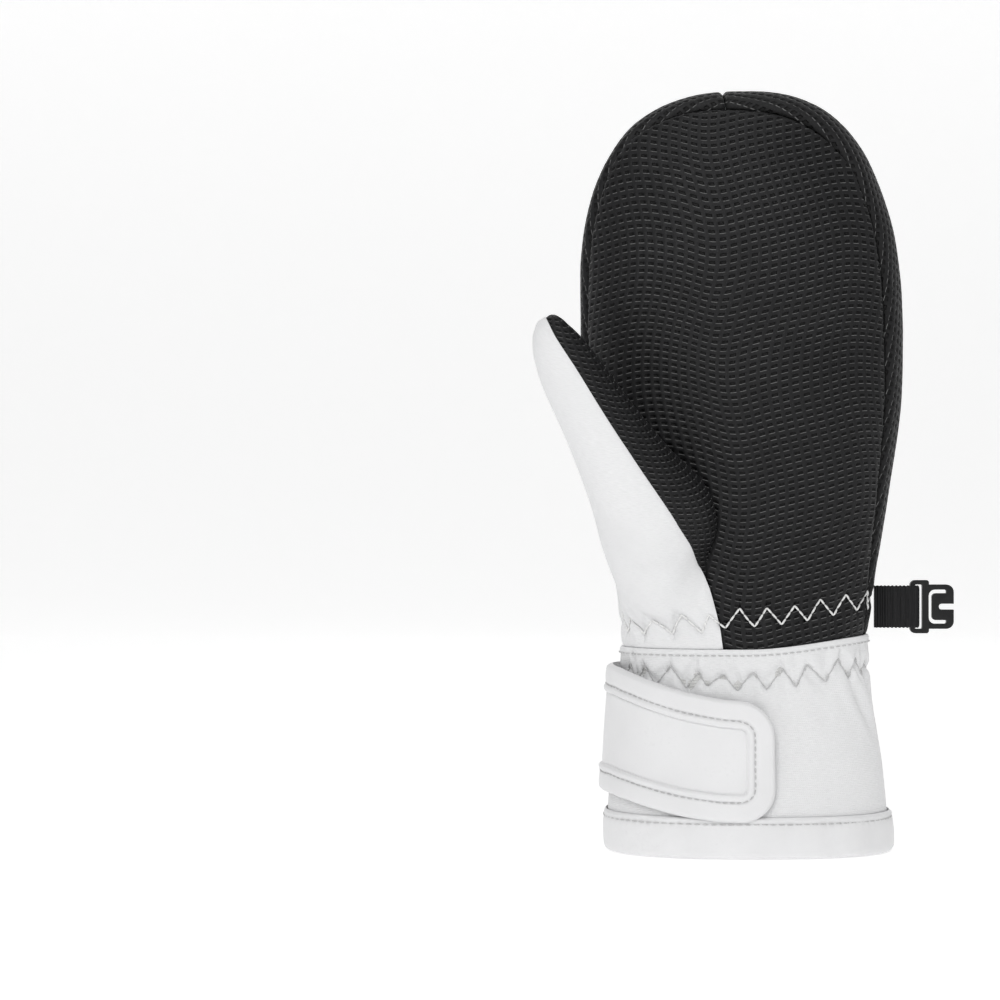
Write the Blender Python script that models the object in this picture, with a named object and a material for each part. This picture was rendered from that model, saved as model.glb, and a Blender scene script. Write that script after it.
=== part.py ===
"""Left-hand ski mitten: grip palm, set-in thumb, elasticated wrist, gauntlet cuff with a touch-fastening
strap, and a hook clip on a webbing loop. It stands on its hem, fingers up, with the palm towards -Y and
the thumb at -X. Sizes in this file are millimetres; points turn into metres as the meshes are made.
"""

import math

import bmesh
import bpy
from mathutils import Matrix, Vector

MM = 0.001
FIT = 0.3  # gap between neighbouring pieces

# Frame: the box around all pieces is centred on x = 0 and y = 0, and these put the hand there.
HAND_X = 0.4
HAND_Y = 7.7

# Hand and cuff: (height, centre x, half width, front depth, back depth) from the hem to the dome's foot.
STATIONS = (
    (0.0, 1.0, 50.6, 35.0, 35.0),
    (15.0, 0.6, 50.1, 34.5, 34.5),
    (30.0, 0.5, 48.8, 33.0, 33.0),
    (50.0, 0.0, 46.1, 30.0, 29.5),
    (70.0, -0.3, 44.2, 27.6, 26.6),
    (85.0, -0.3, 45.1, 27.2, 25.8),
    (105.0, -0.7, 48.3, 27.8, 25.4),
    (130.0, -1.0, 52.5, 28.8, 25.4),
    (155.0, -1.0, 56.0, 29.2, 25.2),
    (185.0, -1.35, 57.6, 28.6, 24.6),
)
DOME_FOOT = 185.0
TIP = 270.7
ROUNDNESS = 2.35  # superellipse power of every cross-section
OUTLINE_POWER = {-1: 2.87, 1: 2.3}  # fingertip outline, squarer on the index side

# Layers of the hand, as (outer, inner) depth under the outside.
SHELL = (0.0, 1.2)
MEMBRANE = (2.0, 2.4)
WADDING = (2.8, 6.4)
LINING = (6.8, 8.2)
WRIST_ELASTIC = (3.0, 4.2)
CUFF_ELASTIC = (1.5, 2.4)
CUFF_LINING = (3.2, 4.5)

# Heights of the seams and bands
HEM_HEIGHT = 14.4
HEM_INSIDE = 12.4  # height of its inner fold
HEM_WALL = 1.4
HEM_PUFF = 0.5
CUFF_FOOT = 2.0
CUFF_LINING_FOOT = 3.0
WRIST_SEAM = 74.0
MEMBRANE_FOOT = 75.0
LINING_FOOT = 76.0
WADDING_FOOT = 97.0
THUMB_CROTCH = 120.0
WRIST_ELASTIC_Z = (80.0, 91.0)
CUFF_ELASTIC_Z = (56.0, 66.5)

LABEL_GAP, LABEL_THICK = 0.9, 0.4
LABEL_TURN = (75.0, 105.0)
LABEL_Z = (30.0, 52.0)

# Thumb: (x, y, z, radius) along its spine, and its layers
THUMB_SPINE = (
    (-30.5, -20.5, 104.0, 13.5),
    (-33.0, -24.0, 112.0, 17.0),
    (-37.5, -29.0, 123.0, 18.8),
    (-45.0, -35.0, 138.0, 17.5),
    (-54.5, -40.0, 156.0, 13.6),
    (-65.0, -41.0, 175.0, 9.6),
)
THUMB_TIP = (-73.3, -39.5, 191.0)
THUMB_MEMBRANE = (1.5, 1.9)
THUMB_WADDING = (2.2, 3.9)
THUMB_LINING = (4.2, 5.2)
THUMB_AXIS = (-30.0, -15.0, 104.0)  # upright hinge at the thumb's root
THUMB_SPLIT = 10.0  # degrees that the thumb's front seam is turned towards the fingers
THUMB_TIP_TURN = 86.0  # degrees of the rounded tip that its last row closes at
THUMB_HOLE = ((-36.5, -28.0, 119.0), (30.0, 25.0, 39.0))  # centre and half axes

# Cuff strap
STRAP_END, STRAP_FOLD, STRAP_BACK = -77.0, -180.0, -232.0  # degrees round the cuff
STRAP_MID = (34.2, 42.5)  # height of its middle at the free end and at the fold
STRAP_HALF = (20.8, 22.6)  # half its width there
STRAP_CORNER = 12.0
STRAP_BORDER = 9.4
STRAP_LAYER = (2.1, 3.3)
BORDER_LAYER = (3.6, 4.6)
LOOP_LAYER = (0.4, 0.9)
HOOK_LAYER = (1.2, 1.8)

STRAP_CONE = (13.0, 50.5, 34.9)  # height, half width and half depth of the cone it lies on
STRAP_CENTRE = 0.5
STRAP_TAPER = 0.066  # how much the cone narrows per millimetre of height
STRAP_LENGTH = 84.0  # free end to fold, along the surface
STRAP_AXIS = (-54.2, 0.0, 40.0)  # upright hinge of the peeling tab
STRAP_SPLIT = 0.985  # share of that length that the moving tab takes
BORDER_STOP = 0.9
HOOK_PATCH = (0.0, 0.42)
LOOP_PATCH = (0.0, 0.6)
PATCH_MARGIN = 4.0

# Webbing and hook clip
WEB_WIDTH, WEB_THICK = 15.0, 1.1
WEB_Z = 86.5
WEB_Y = 4.0
WEB_ROOT, BAR_X = 47.9, 60.6
WEB_ROOT_GAP = 0.4  # half the gap between its two layers at the seam
WEB_SPREAD = 5.0  # length over which the layers part
BAR_REACH = 1.6  # inner radius of the webbing's fold
CLIP_THICK = 2.2

CLIP_EDGE = 0.25
BAR_WIDTH = 1.6
HOOK_X = (-0.8, 6.0, 3.6, 15.0)  # bar's back, flange's end, web slot's end and plate's end, from the bar
HOOK_HALF = (9.6, 8.0)  # half height of the flange and of the plate
HOOK_STEP = 0.6
HOOK_CORNER, SLOT_CORNER = 1.6, 0.5
WEB_PLAY = 0.5
HOOK_MOUTH = 1.2
HOOK_TONGUE = 8.8
HOOK_SLOT_X = (5.2, 12.2)
HOOK_SLOT_Z = (4.7, 6.1)
HOOK_SLOT_WIDTH = 1.5

# Sewing
THREAD = 0.35
THREAD_LIFT = 0.9
SEAM_MARGIN = 2.2  # from a seam to its row of stitches
ZIGZAGS = 27
ZIGZAG_HALF = 3.5
UPPER_ROW = (84.6, 4.4)
LOWER_ROW = (61.5, 1.0)

# Share of the half width that the palm panel covers, at the dome's foot and at the wrist
PALM_REACH = {-1: (0.985, 0.985), 1: (0.875, 0.975)}
BACK_REACH = 0.86
SEAM_SHARE_GAP = 0.003
STRIP_STOP = 0.998
THUMB_SEAM_SHARE = (0.2, 0.33)
THUMB_SEAM_TOP, THUMB_SEAM_END = 98.0, 132.0

# Resolution of the pieces
BODY_HEIGHTS = (85.0, 97.0, 108.0, 120.0, 141.0, 163.0, 185.0)
LEAST_ROW = 2.0  # least height of a hand piece's first row
COLUMNS, DOME_ROWS = 12, 6
PANEL_SPREAD = 62.0
EDGE_COLUMNS, STRIP_ROWS = 5, 11
CUFF_COLUMNS, CUFF_ROWS = 16, 4
THUMB_COLUMNS, THUMB_ROWS, TIP_ROWS = 7, 7, 3
STRAP_COLUMNS, STRAP_ROWS, CORNER_ROWS = 10, 4, 6
FOLD_STEPS = 8
HOLE_COLUMNS, HOLE_ROWS = 20, 12
CUT_SPARE = 1.0  # how far a cutter runs past what it cuts


def clear_scene():
    """Removes everything that the file opened with."""
    for old in list(bpy.data.objects):
        bpy.data.objects.remove(old)


def material(name, colour, roughness, metallic=0.0):
    """A Principled material of one finish."""
    made = bpy.data.materials.new(name)
    made.use_nodes = True
    made.diffuse_color = (*colour, 1.0)
    shader = made.node_tree.nodes["Principled BSDF"]
    shader.inputs["Base Color"].default_value = (*colour, 1.0)
    shader.inputs["Roughness"].default_value = roughness
    shader.inputs["Metallic"].default_value = metallic
    return made


def spline(points, at):
    """The row at parameter `at` of a Catmull-Rom curve through rows keyed by their first number."""
    keys = [row[0] for row in points]
    at = min(max(at, keys[0]), keys[-1])
    i = max(k for k in range(len(keys) - 1) if keys[k] <= at)
    rows = [points[min(max(k, 0), len(points) - 1)] for k in (i - 1, i, i + 1, i + 2)]
    t = (at - keys[i]) / (keys[i + 1] - keys[i])
    span = keys[i + 1] - keys[i]
    out = []
    for column in range(1, len(points[0])):
        before, start, end, after = (row[column] for row in rows)
        slope_in = (end - before) / (rows[2][0] - rows[0][0]) * span
        slope_out = (after - start) / (rows[3][0] - rows[1][0]) * span
        out.append(
            (2 * t**3 - 3 * t**2 + 1) * start
            + (t**3 - 2 * t**2 + t) * slope_in
            + (3 * t**2 - 2 * t**3) * end
            + (t**3 - t**2) * slope_out
        )
    return out


def lerp(a, b, t):
    """The value at a share of the way from a to b."""
    return a + (b - a) * t


def placed(x, y, z):
    """A point of the hand's own frame, in the part's frame and in metres."""
    return Vector((x + HAND_X, y + HAND_Y, z)) * MM


def signed_power(value, power):
    return math.copysign(abs(value) ** power, value)


def ring_point(z, angle, inset):
    """Point of the hand's cross-section at a height. Angle 0 is +X and -90 degrees is the palm."""
    centre, width, front, back = spline(STATIONS, z)
    c, s = math.cos(angle), math.sin(angle)
    depth = front if s < 0 else back
    return placed(
        centre + (width - inset) * signed_power(c, 2 / ROUNDNESS),
        (depth - inset) * signed_power(s, 2 / ROUNDNESS),
        z,
    )


def up_of(z):
    """The measure `up` of a height on the body: -1 at the wrist seam and 0 at the dome's foot."""
    return (z - DOME_FOOT) / (DOME_FOOT - WRIST_SEAM)


def height_of(up):
    """The height of a measure `up` on the body."""
    return lerp(DOME_FOOT, WRIST_SEAM, -min(up, 0.0))


def hand_point(across, up, side, inset, edge_gap=0.0):
    """Point of the hand above its wrist. `across` is -1 to 1. `up` is -1 at the wrist, 0 at the dome's
    foot and 1 at the fingertip. Side is -1 for the palm and 1 for the back."""
    if up <= 0:
        z = height_of(up)
        centre, width, front, back = spline(STATIONS, z)
        reach = abs(across)
        x = centre + (width - inset) * across
    else:
        centre, width, front, back = STATIONS[-1][1:]
        disc_x = across * math.sqrt(1 - up * up / 2)
        disc_z = up * math.sqrt(1 - across * across / 2)
        reach = math.hypot(disc_x, disc_z)
        mix = 0.5 + 0.5 * disc_x / max(reach, 1e-6)
        power = lerp(OUTLINE_POWER[-1], OUTLINE_POWER[1], mix)
        c, s = abs(disc_x) / max(reach, 1e-6), disc_z / max(reach, 1e-6)
        swell = (c**power + s**power) ** (-1 / power) if reach > 1e-6 else 1.0
        x = centre + (width - inset) * disc_x * swell
        z = DOME_FOOT + (TIP - DOME_FOOT - inset) * disc_z * swell
    depth = (front if side < 0 else back) - inset - edge_gap
    bulge = max(0.0, 1 - min(reach, 1.0) ** ROUNDNESS) ** (1 / ROUNDNESS)
    return placed(x, side * (edge_gap + depth * bulge), z)


def mesh_object(name, bm, finish, smooth=40.0):
    """Closes up a bmesh, points its faces out and links it as one named object."""
    bmesh.ops.remove_doubles(bm, verts=bm.verts, dist=1e-6)
    bmesh.ops.recalc_face_normals(bm, faces=bm.faces)
    mesh = bpy.data.meshes.new(name)
    bm.to_mesh(mesh)
    bm.free()
    mesh.shade_smooth()
    mesh.set_sharp_from_angle(angle=math.radians(smooth))
    mesh.materials.append(finish)
    made = bpy.data.objects.new(name, mesh)
    bpy.context.scene.collection.objects.link(made)
    return made


def add_grid(bm, point, columns, rows):
    """A grid of quads from point(column, row), and its vertices by column and row."""
    verts = [[bm.verts.new(point(i, j)) for j in range(rows + 1)] for i in range(columns + 1)]
    for i in range(columns):
        for j in range(rows):
            bm.faces.new((verts[i][j], verts[i + 1][j], verts[i + 1][j + 1], verts[i][j + 1]))
    return verts


def bridge_rims(bm, outer, inner):
    """Quads between two runs of vertices of the same length."""
    for k in range(len(outer) - 1):
        bm.faces.new((outer[k], outer[k + 1], inner[k + 1], inner[k]))


def add_sheet(bm, point, columns, rows):
    """A sheet with thickness: point(column, row, face) with face 0 outside and 1 inside."""
    outer = add_grid(bm, lambda i, j: point(i, j, 0), columns, rows)
    inner = add_grid(bm, lambda i, j: point(i, j, 1), columns, rows)
    for rim in (0, rows):
        bridge_rims(bm, [c[rim] for c in outer], [c[rim] for c in inner])
    for side in (0, columns):
        bridge_rims(bm, outer[side], inner[side])


def sheet(name, point, columns, rows, finish):
    bm = bmesh.new()
    add_sheet(bm, point, columns, rows)
    return mesh_object(name, bm, finish)


def band(name, point, columns, rows, finish):
    """A sheet that closes on itself: its last column is its first."""
    bm = bmesh.new()
    faces = [
        add_grid(bm, lambda i, j, face=face: point(i % columns, j, face), columns, rows)
        for face in (0, 1)
    ]
    for rim in (0, rows):
        bridge_rims(bm, [c[rim] for c in faces[0]], [c[rim] for c in faces[1]])
    return mesh_object(name, bm, finish)


# ---------------------------------------------------------------- hand


def spread(t, most):
    """Spaces -1 to 1 evenly in angle round a cross-section that it covers up to `most` degrees."""
    turn = math.radians(most)
    return signed_power(math.sin(t * turn) / math.sin(turn), 2 / ROUNDNESS)


def hand_rows(foot, most):
    """`up` of each row of a hand piece: its foot, the common heights above it, and the dome."""
    body = [up_of(z) for z in (foot, *BODY_HEIGHTS) if z == foot or z > foot + LEAST_ROW]
    return body + [spread(k / DOME_ROWS, most) for k in range(1, DOME_ROWS + 1)]


def column_share(i, most):
    """`across` of a column of a hand piece."""
    return spread(2 * i / COLUMNS - 1, most)


def hand_bag(name, layer, foot, finish):
    """A bag in the shape of the hand, open at its foot."""
    bm = bmesh.new()
    rows = hand_rows(foot, 90)
    rims = []
    for inset in layer:
        for side in (-1, 1):
            grid = add_grid(
                bm,
                lambda i, j, s=side, d=inset: hand_point(column_share(i, 90), rows[j], s, d),
                COLUMNS,
                len(rows) - 1,
            )
            rims.append([column[0] for column in grid])
    for outer, inner in ((0, 2), (1, 3)):
        bridge_rims(bm, rims[outer], rims[inner])
    return mesh_object(name, bm, finish)


def hand_half(name, side, layer, foot, finish):
    """The palm half or the back half of a layer, with a gap to the other half at the edge."""
    rows = hand_rows(foot, 90)
    return sheet(
        name,
        lambda i, j, face: hand_point(column_share(i, 90), rows[j], side, layer[face], FIT / 2),
        COLUMNS,
        len(rows) - 1,
        finish,
    )


def seam_share(along, hand_side):
    """Share of the half width that the palm panel covers, where its seam meets the edge strip."""
    if along > 0:
        cosine = math.cos(along * math.pi / 2)
        return lerp(PALM_REACH[-1][0], PALM_REACH[1][0], 0.5 + 0.5 * hand_side * cosine)
    top, foot = PALM_REACH[hand_side]
    return lerp(top, foot, -along)


def thumb_seam_share(up):
    """Share of the index half that the palm panel covers; the side panel and the thumb take the rest."""
    z = height_of(up)
    full = seam_share(up, -1)
    t = min(max((z - THUMB_SEAM_TOP) / (THUMB_SEAM_END - THUMB_SEAM_TOP), 0.0), 1.0)
    low_run = (z - WRIST_SEAM) / (THUMB_SEAM_TOP - WRIST_SEAM)
    low = lerp(THUMB_SEAM_SHARE[0], THUMB_SEAM_SHARE[1], min(low_run, 1.0))
    return lerp(low, full, t * t * (3 - 2 * t))


def palm_reach(up, hand_side):
    """Share of the half width that the palm panel covers."""
    return thumb_seam_share(up) if hand_side < 0 else seam_share(up, 1)


def back_reach(_up, _hand_side):
    """Share of the half width that the back panel covers."""
    return BACK_REACH


def square_of_disc(x, z):
    """The (across, up) whose point in the unit disc is (x, z)."""
    root = 2 * math.sqrt(2)
    a = 2 + x * x - z * z
    b = 2 - x * x + z * z
    across = math.sqrt(max(0.0, a + root * x)) - math.sqrt(max(0.0, a - root * x))
    up = math.sqrt(max(0.0, b + root * z)) - math.sqrt(max(0.0, b - root * z))
    return 0.5 * across, 0.5 * up


def panel_point(across, up, side, inset, reach):
    """Point of a shell panel, which covers only a share of the hand's outline."""
    if up <= 0:
        share = reach(up, -1 if across < 0 else 1) - SEAM_SHARE_GAP
        return hand_point(across * share, up, side, inset)
    x = across * math.sqrt(1 - up * up / 2)
    z = up * math.sqrt(1 - across * across / 2)
    share = lerp(reach(0, -1), reach(0, 1), 0.5 + 0.5 * x) - SEAM_SHARE_GAP
    return hand_point(*square_of_disc(x * share, z * share), side, inset)


def hand_panel(name, side, reach, finish):
    """The palm panel or the back panel of the shell."""
    rows = hand_rows(WRIST_SEAM, PANEL_SPREAD)
    return sheet(
        name,
        lambda i, j, face: panel_point(
            column_share(i, PANEL_SPREAD), rows[j], side, SHELL[face], reach
        ),
        COLUMNS,
        len(rows) - 1,
        finish,
    )


def edge_point(along, hand_side, turn, inset):
    """Point near the hand's outline. `along` is -1 at the wrist and 1 at the fingertip. `turn` is the
    angle round the edge, negative on the palm."""
    share = math.cos(turn) ** (2 / ROUNDNESS)
    side = math.copysign(1, turn)
    if along <= 0:
        return hand_point(hand_side * share, along, side, inset)
    angle = along * math.pi / 2
    x = hand_side * share * math.cos(angle)
    z = share * math.sin(angle)
    return hand_point(*square_of_disc(x, z), side, inset)


def turn_of(share):
    """The angle round the edge of a share of the half width."""
    return math.acos(share ** (ROUNDNESS / 2))


def edge_rows(foot, top):
    """`along` of each row of an edge piece between two heights; a top of None is the fingertip."""
    if top is not None:
        return [up_of(z) for z in (foot, *BODY_HEIGHTS, top) if foot <= z <= top]
    body = [up_of(z) for z in (foot, *BODY_HEIGHTS) if z == foot or z > foot + LEAST_ROW]
    return body + [STRIP_STOP * k / STRIP_ROWS for k in range(1, STRIP_ROWS + 1)]


def edge_panel(name, hand_side, along_rows, front_share, columns, finish):
    """A shell piece that wraps round the hand's edge, from the palm's seam to the back's."""

    def point(i, j, face):
        along = along_rows[j]
        front = turn_of(front_share(along) + SEAM_SHARE_GAP)
        back = turn_of(BACK_REACH + SEAM_SHARE_GAP)
        return edge_point(along, hand_side, lerp(-front, back, i / columns), SHELL[face])

    return sheet(name, point, columns, len(along_rows) - 1, finish)


# ---------------------------------------------------------------- thumb


def thumb_frame(at):
    """(centre, radius, along, front, across) of the thumb at a station number."""
    rows = [(k, *station) for k, station in enumerate(THUMB_SPINE)]
    x, y, z, radius = spline(rows, at)
    step = 0.05
    here, there = (Vector(spline(rows, at + d)[:3]) for d in (-step, step))
    along = (there - here).normalized()
    front = (Vector((0, -1, 0)) + along * along.y).normalized()
    return Vector((x, y, z)), radius, along, front, along.cross(front)


def thumb_point(row, angle, inset, shift=0.0):
    """Point of the thumb's sleeve. Angle 0 is its front and 90 degrees is the side of the fingers."""
    last = len(THUMB_SPINE) - 1
    if row <= THUMB_ROWS:
        centre, radius, _, front, across = thumb_frame(last * row / THUMB_ROWS)
        reach = radius - inset
    else:
        centre, radius, _, front, across = thumb_frame(last)
        rise = math.radians(THUMB_TIP_TURN) * (row - THUMB_ROWS) / TIP_ROWS
        axis = Vector(THUMB_TIP) - centre
        centre = centre + axis * (1 - inset / axis.length) * math.sin(rise)
        reach = (radius - inset) * math.cos(rise)
    split = across * math.cos(math.radians(THUMB_SPLIT)) - front * math.sin(math.radians(THUMB_SPLIT))
    out = centre + (front * math.cos(angle) + across * math.sin(angle)) * reach + split * shift
    return placed(*out)


def thumb_half(name, side, finish):
    """The half of the thumb's shell towards the fingers (side 1), or the outer one (side -1)."""
    rows = THUMB_ROWS + TIP_ROWS

    def point(i, j, face):
        turn = side * math.pi * i / THUMB_COLUMNS
        angle = math.radians(THUMB_SPLIT) + turn
        return thumb_point(j, angle, SHELL[face], side * FIT / 2)

    return sheet(name, point, THUMB_COLUMNS, rows, finish)


def thumb_bag(name, layer, finish):
    """A closed-tipped sleeve inside the thumb's shell, open at its base."""
    bm = bmesh.new()
    rows = THUMB_ROWS + TIP_ROWS
    count = 2 * THUMB_COLUMNS
    rims = []
    for inset in layer:
        grid = add_grid(
            bm,
            lambda i, j, d=inset: thumb_point(
                j, math.radians(THUMB_SPLIT) + 2 * math.pi * (i % count) / count, d
            ),
            count,
            rows,
        )
        bm.faces.new([column[-1] for column in grid[:-1]])
        rims.append([column[0] for column in grid])
    bridge_rims(bm, *rims)
    return mesh_object(name, bm, finish)


def thumb_hole():
    """The hollow that the hand's layers leave round the thumb's root."""
    bm = bmesh.new()
    centre, axes = THUMB_HOLE
    bmesh.ops.create_uvsphere(bm, u_segments=HOLE_COLUMNS, v_segments=HOLE_ROWS, radius=1.0)
    bmesh.ops.transform(
        bm,
        verts=bm.verts,
        matrix=Matrix.Translation(placed(*centre)) @ Matrix.Diagonal((*(Vector(axes) * MM), 1.0)),
    )
    hole = mesh_object("thumb_hole", bm, material("cutter", (0.5, 0.5, 0.5), 0.5))
    hole.hide_render = True
    hole.display_type = "WIRE"
    return hole


def cut(piece, cutter):
    """Cuts one piece with another."""
    boolean = piece.modifiers.new("cut", "BOOLEAN")
    boolean.operation = "DIFFERENCE"
    boolean.solver = "EXACT"
    boolean.object = cutter


# ---------------------------------------------------------------- cuff


def cuff_half(name, side, finish):
    """The palm half or the back half of the gauntlet."""

    def point(i, j, face):
        z = lerp(CUFF_FOOT, WRIST_SEAM - FIT, j / CUFF_ROWS)
        at = ring_point(z, side * math.pi * i / CUFF_COLUMNS, SHELL[face])
        return at + Vector((0, side * FIT / 2 * MM, 0))

    return sheet(name, point, CUFF_COLUMNS, CUFF_ROWS, finish)


def ring_band(name, layer, heights, rows, finish):
    """A band right round the cuff or the wrist."""
    count = 2 * CUFF_COLUMNS
    return band(
        name,
        lambda i, j, face: ring_point(
            lerp(heights[0], heights[1], j / rows), 2 * math.pi * i / count, layer[face]
        ),
        count,
        rows,
        finish,
    )


def hem(finish):
    """The binding folded over the cuff's lower edge, a channel in section."""
    outer, inner = -FIT, CUFF_LINING[1] + FIT
    profile = (
        (outer - HEM_WALL, 0.0),
        (outer - HEM_WALL - HEM_PUFF, HEM_HEIGHT / 2),
        (outer - HEM_WALL, HEM_HEIGHT),
        (outer, HEM_HEIGHT),
        (outer, CUFF_FOOT - FIT),
        (inner, CUFF_FOOT - FIT),
        (inner, HEM_INSIDE),
        (inner + HEM_WALL, HEM_INSIDE),
        (inner + HEM_WALL, 0.0),
    )
    bm = bmesh.new()
    count = 2 * CUFF_COLUMNS
    rings = [
        [bm.verts.new(ring_point(z, 2 * math.pi * i / count, inset)) for inset, z in profile]
        for i in range(count)
    ]
    for i in range(count):
        here, after = rings[i], rings[(i + 1) % count]
        for k in range(len(profile)):
            n = (k + 1) % len(profile)
            bm.faces.new((here[k], after[k], after[n], here[n]))
    return mesh_object("hem_band", bm, finish)


def care_label(finish):
    """A blank label sewn into the back of the cuff's lining."""
    columns, rows = 3, 2

    def point(i, j, face):
        angle = math.radians(lerp(LABEL_TURN[0], LABEL_TURN[1], i / columns))
        inset = CUFF_LINING[1] + LABEL_GAP + LABEL_THICK * face
        return ring_point(lerp(LABEL_Z[0], LABEL_Z[1], j / rows), angle, inset)

    return sheet("care_label", point, columns, rows, finish)


# ---------------------------------------------------------------- strap


def strap_middle(share):
    """(height of the middle, half width) of the strap at a share of the way to its fold."""
    t = min(share, 1.0)
    return lerp(STRAP_MID[0], STRAP_MID[1], t), lerp(STRAP_HALF[0], STRAP_HALF[1], t)


def strap_point(share, level, outset, margin=0.0):
    """Point of the strap. `share` is 0 at the free end, 1 at the fold and 2 at the sewn end. `level` is
    -1 at the lower edge and 1 at the upper one."""
    if share <= 1:
        angle = lerp(STRAP_END, STRAP_FOLD, share)
    else:
        angle = lerp(STRAP_FOLD, STRAP_BACK, share - 1)
    middle, half = strap_middle(share)
    half -= margin
    corner = max(STRAP_CORNER - margin, 1.0)
    run = share * STRAP_LENGTH - margin
    if run < corner:
        half += math.sqrt(max(0.0, corner**2 - (corner - max(run, 0.0)) ** 2)) - corner
    z = middle + level * half
    slope = STRAP_TAPER * (z - STRAP_CONE[0])
    c, s = math.cos(math.radians(angle)), math.sin(math.radians(angle))
    return placed(
        STRAP_CENTRE + (STRAP_CONE[1] - slope + outset) * signed_power(c, 2 / ROUNDNESS),
        (STRAP_CONE[2] - slope + outset) * signed_power(s, 2 / ROUNDNESS),
        z,
    )


def strap_rows(start, stop, count, corner):
    """Shares of the way along, closer together round the free end's corners."""
    if start > 0:
        return [lerp(start, stop, i / count) for i in range(count + 1)]
    round_part = corner / STRAP_LENGTH
    turns = [math.pi / 2 * k / CORNER_ROWS for k in range(CORNER_ROWS)]
    head = [round_part * (1 - math.cos(turn)) for turn in turns]
    return head + [lerp(round_part, stop, i / count) for i in range(count + 1)]


def strap_slab(name, start, stop, layer, finish, margin=0.0, count=STRAP_COLUMNS):
    """A length of the strap between two depths."""
    shift = margin / STRAP_LENGTH if start == 0 else 0.0
    shares = [
        min(share + shift, stop)
        for share in strap_rows(start, stop - shift, count, STRAP_CORNER - margin)
    ]
    return sheet(
        name,
        lambda i, j, face: strap_point(
            shares[i], lerp(-1, 1, j / STRAP_ROWS), layer[face], margin
        ),
        len(shares) - 1,
        STRAP_ROWS,
        finish,
    )


def strap_border(finish):
    """The raised edge of the strap, a frame round its inset panel."""
    border = strap_slab("strap_border", 0, STRAP_SPLIT, BORDER_LAYER, finish)
    deep = (BORDER_LAYER[0] - CUT_SPARE, BORDER_LAYER[1] + CUT_SPARE)
    window = strap_slab("strap_window", 0, BORDER_STOP, deep, finish, STRAP_BORDER)
    window.hide_render = True
    window.display_type = "WIRE"
    cut(border, window)
    return border


# ---------------------------------------------------------------- clip


def webbing(finish):
    """The webbing folded in two round the clip's bar, with both ends in the side seam."""
    inner = [(WEB_ROOT, WEB_ROOT_GAP), (WEB_ROOT + WEB_SPREAD, BAR_REACH)]
    turns = [math.pi * (0.5 - k / FOLD_STEPS) for k in range(FOLD_STEPS + 1)]
    outer_reach = BAR_REACH + WEB_THICK
    outer = [(WEB_ROOT, WEB_ROOT_GAP + WEB_THICK), (WEB_ROOT + WEB_SPREAD, outer_reach)]
    inner += [(BAR_X + BAR_REACH * math.cos(a), BAR_REACH * math.sin(a)) for a in turns]
    outer += [(BAR_X + outer_reach * math.cos(a), outer_reach * math.sin(a)) for a in turns]
    inner += [(x, -y) for x, y in reversed(inner[:2])]
    outer += [(x, -y) for x, y in reversed(outer[:2])]
    bm = bmesh.new()
    outline = [bm.verts.new(clip_place(x, y, WEB_Z - WEB_WIDTH / 2)) for x, y in outer + inner[::-1]]
    floor = bm.faces.new(outline)
    raised = bmesh.ops.extrude_face_region(bm, geom=[floor])
    moved = [v for v in raised["geom"] if isinstance(v, bmesh.types.BMVert)]
    bmesh.ops.translate(bm, verts=moved, vec=Vector((0, 0, WEB_WIDTH * MM)))
    return mesh_object("webbing_loop", bm, finish)


def clip_place(x, y, z):
    """A point given from the middle plane of the clip."""
    return placed(x, y + WEB_Y, z)


def rounded(corners, radius):
    """An outline with each corner turned into a short arc of three points."""
    out = []
    count = len(corners)
    for k, corner in enumerate(corners):
        here = Vector(corner)
        back = Vector(corners[k - 1]) - here
        ahead = Vector(corners[(k + 1) % count]) - here
        size = min(radius, back.length * 0.45, ahead.length * 0.45)
        start = here + back.normalized() * size
        end = here + ahead.normalized() * size
        for t in (0.0, 0.5, 1.0):
            out.append(start.lerp(here, t).lerp(here.lerp(end, t), t))
    return out


def hook_clip(finish):
    """The hook half of the clip: a bar for the webbing, and a plate with a C-shaped slot."""
    bar, flange, web_slot, plate = HOOK_X
    high, low = HOOK_HALF
    outline = rounded(
        (
            (bar, -high),
            (flange, -high),
            (flange + HOOK_STEP, -low),
            (plate, -low),
            (plate, -HOOK_MOUTH),
            (HOOK_TONGUE, -HOOK_MOUTH),
            (HOOK_TONGUE, HOOK_MOUTH),
            (plate, HOOK_MOUTH),
            (plate, low),
            (flange + HOOK_STEP, low),
            (flange, high),
            (bar, high),
        ),
        HOOK_CORNER,
    )
    near, half = bar + BAR_WIDTH, WEB_WIDTH / 2 + WEB_PLAY
    slot = rounded(((near, -half), (web_slot, -half), (web_slot, half), (near, half)), SLOT_CORNER)
    left, right = HOOK_SLOT_X
    inner, outer = HOOK_SLOT_Z
    channel = rounded(
        (
            (left, -outer),
            (right, -outer),
            (right, -inner),
            (left + HOOK_SLOT_WIDTH, -inner),
            (left + HOOK_SLOT_WIDTH, inner),
            (right, inner),
            (right, outer),
            (left, outer),
        ),
        SLOT_CORNER,
    )
    curve = bpy.data.curves.new("hook_clip", "CURVE")
    curve.dimensions = "2D"
    curve.fill_mode = "BOTH"
    curve.extrude = (CLIP_THICK / 2 - CLIP_EDGE) * MM
    curve.bevel_depth = CLIP_EDGE * MM
    curve.bevel_resolution = 0
    for ring in (outline, slot, channel):
        loop = curve.splines.new("POLY")
        loop.points.add(len(ring) - 1)
        for point, (x, z) in zip(loop.points, ring):
            point.co = (x * MM, z * MM, 0, 1)
        loop.use_cyclic_u = True
    curve.materials.append(finish)
    clip = bpy.data.objects.new("hook_clip", curve)
    clip.location = clip_place(BAR_X, 0, WEB_Z)
    clip.rotation_euler = (math.pi / 2, 0, 0)
    bpy.context.scene.collection.objects.link(clip)
    return clip


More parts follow.
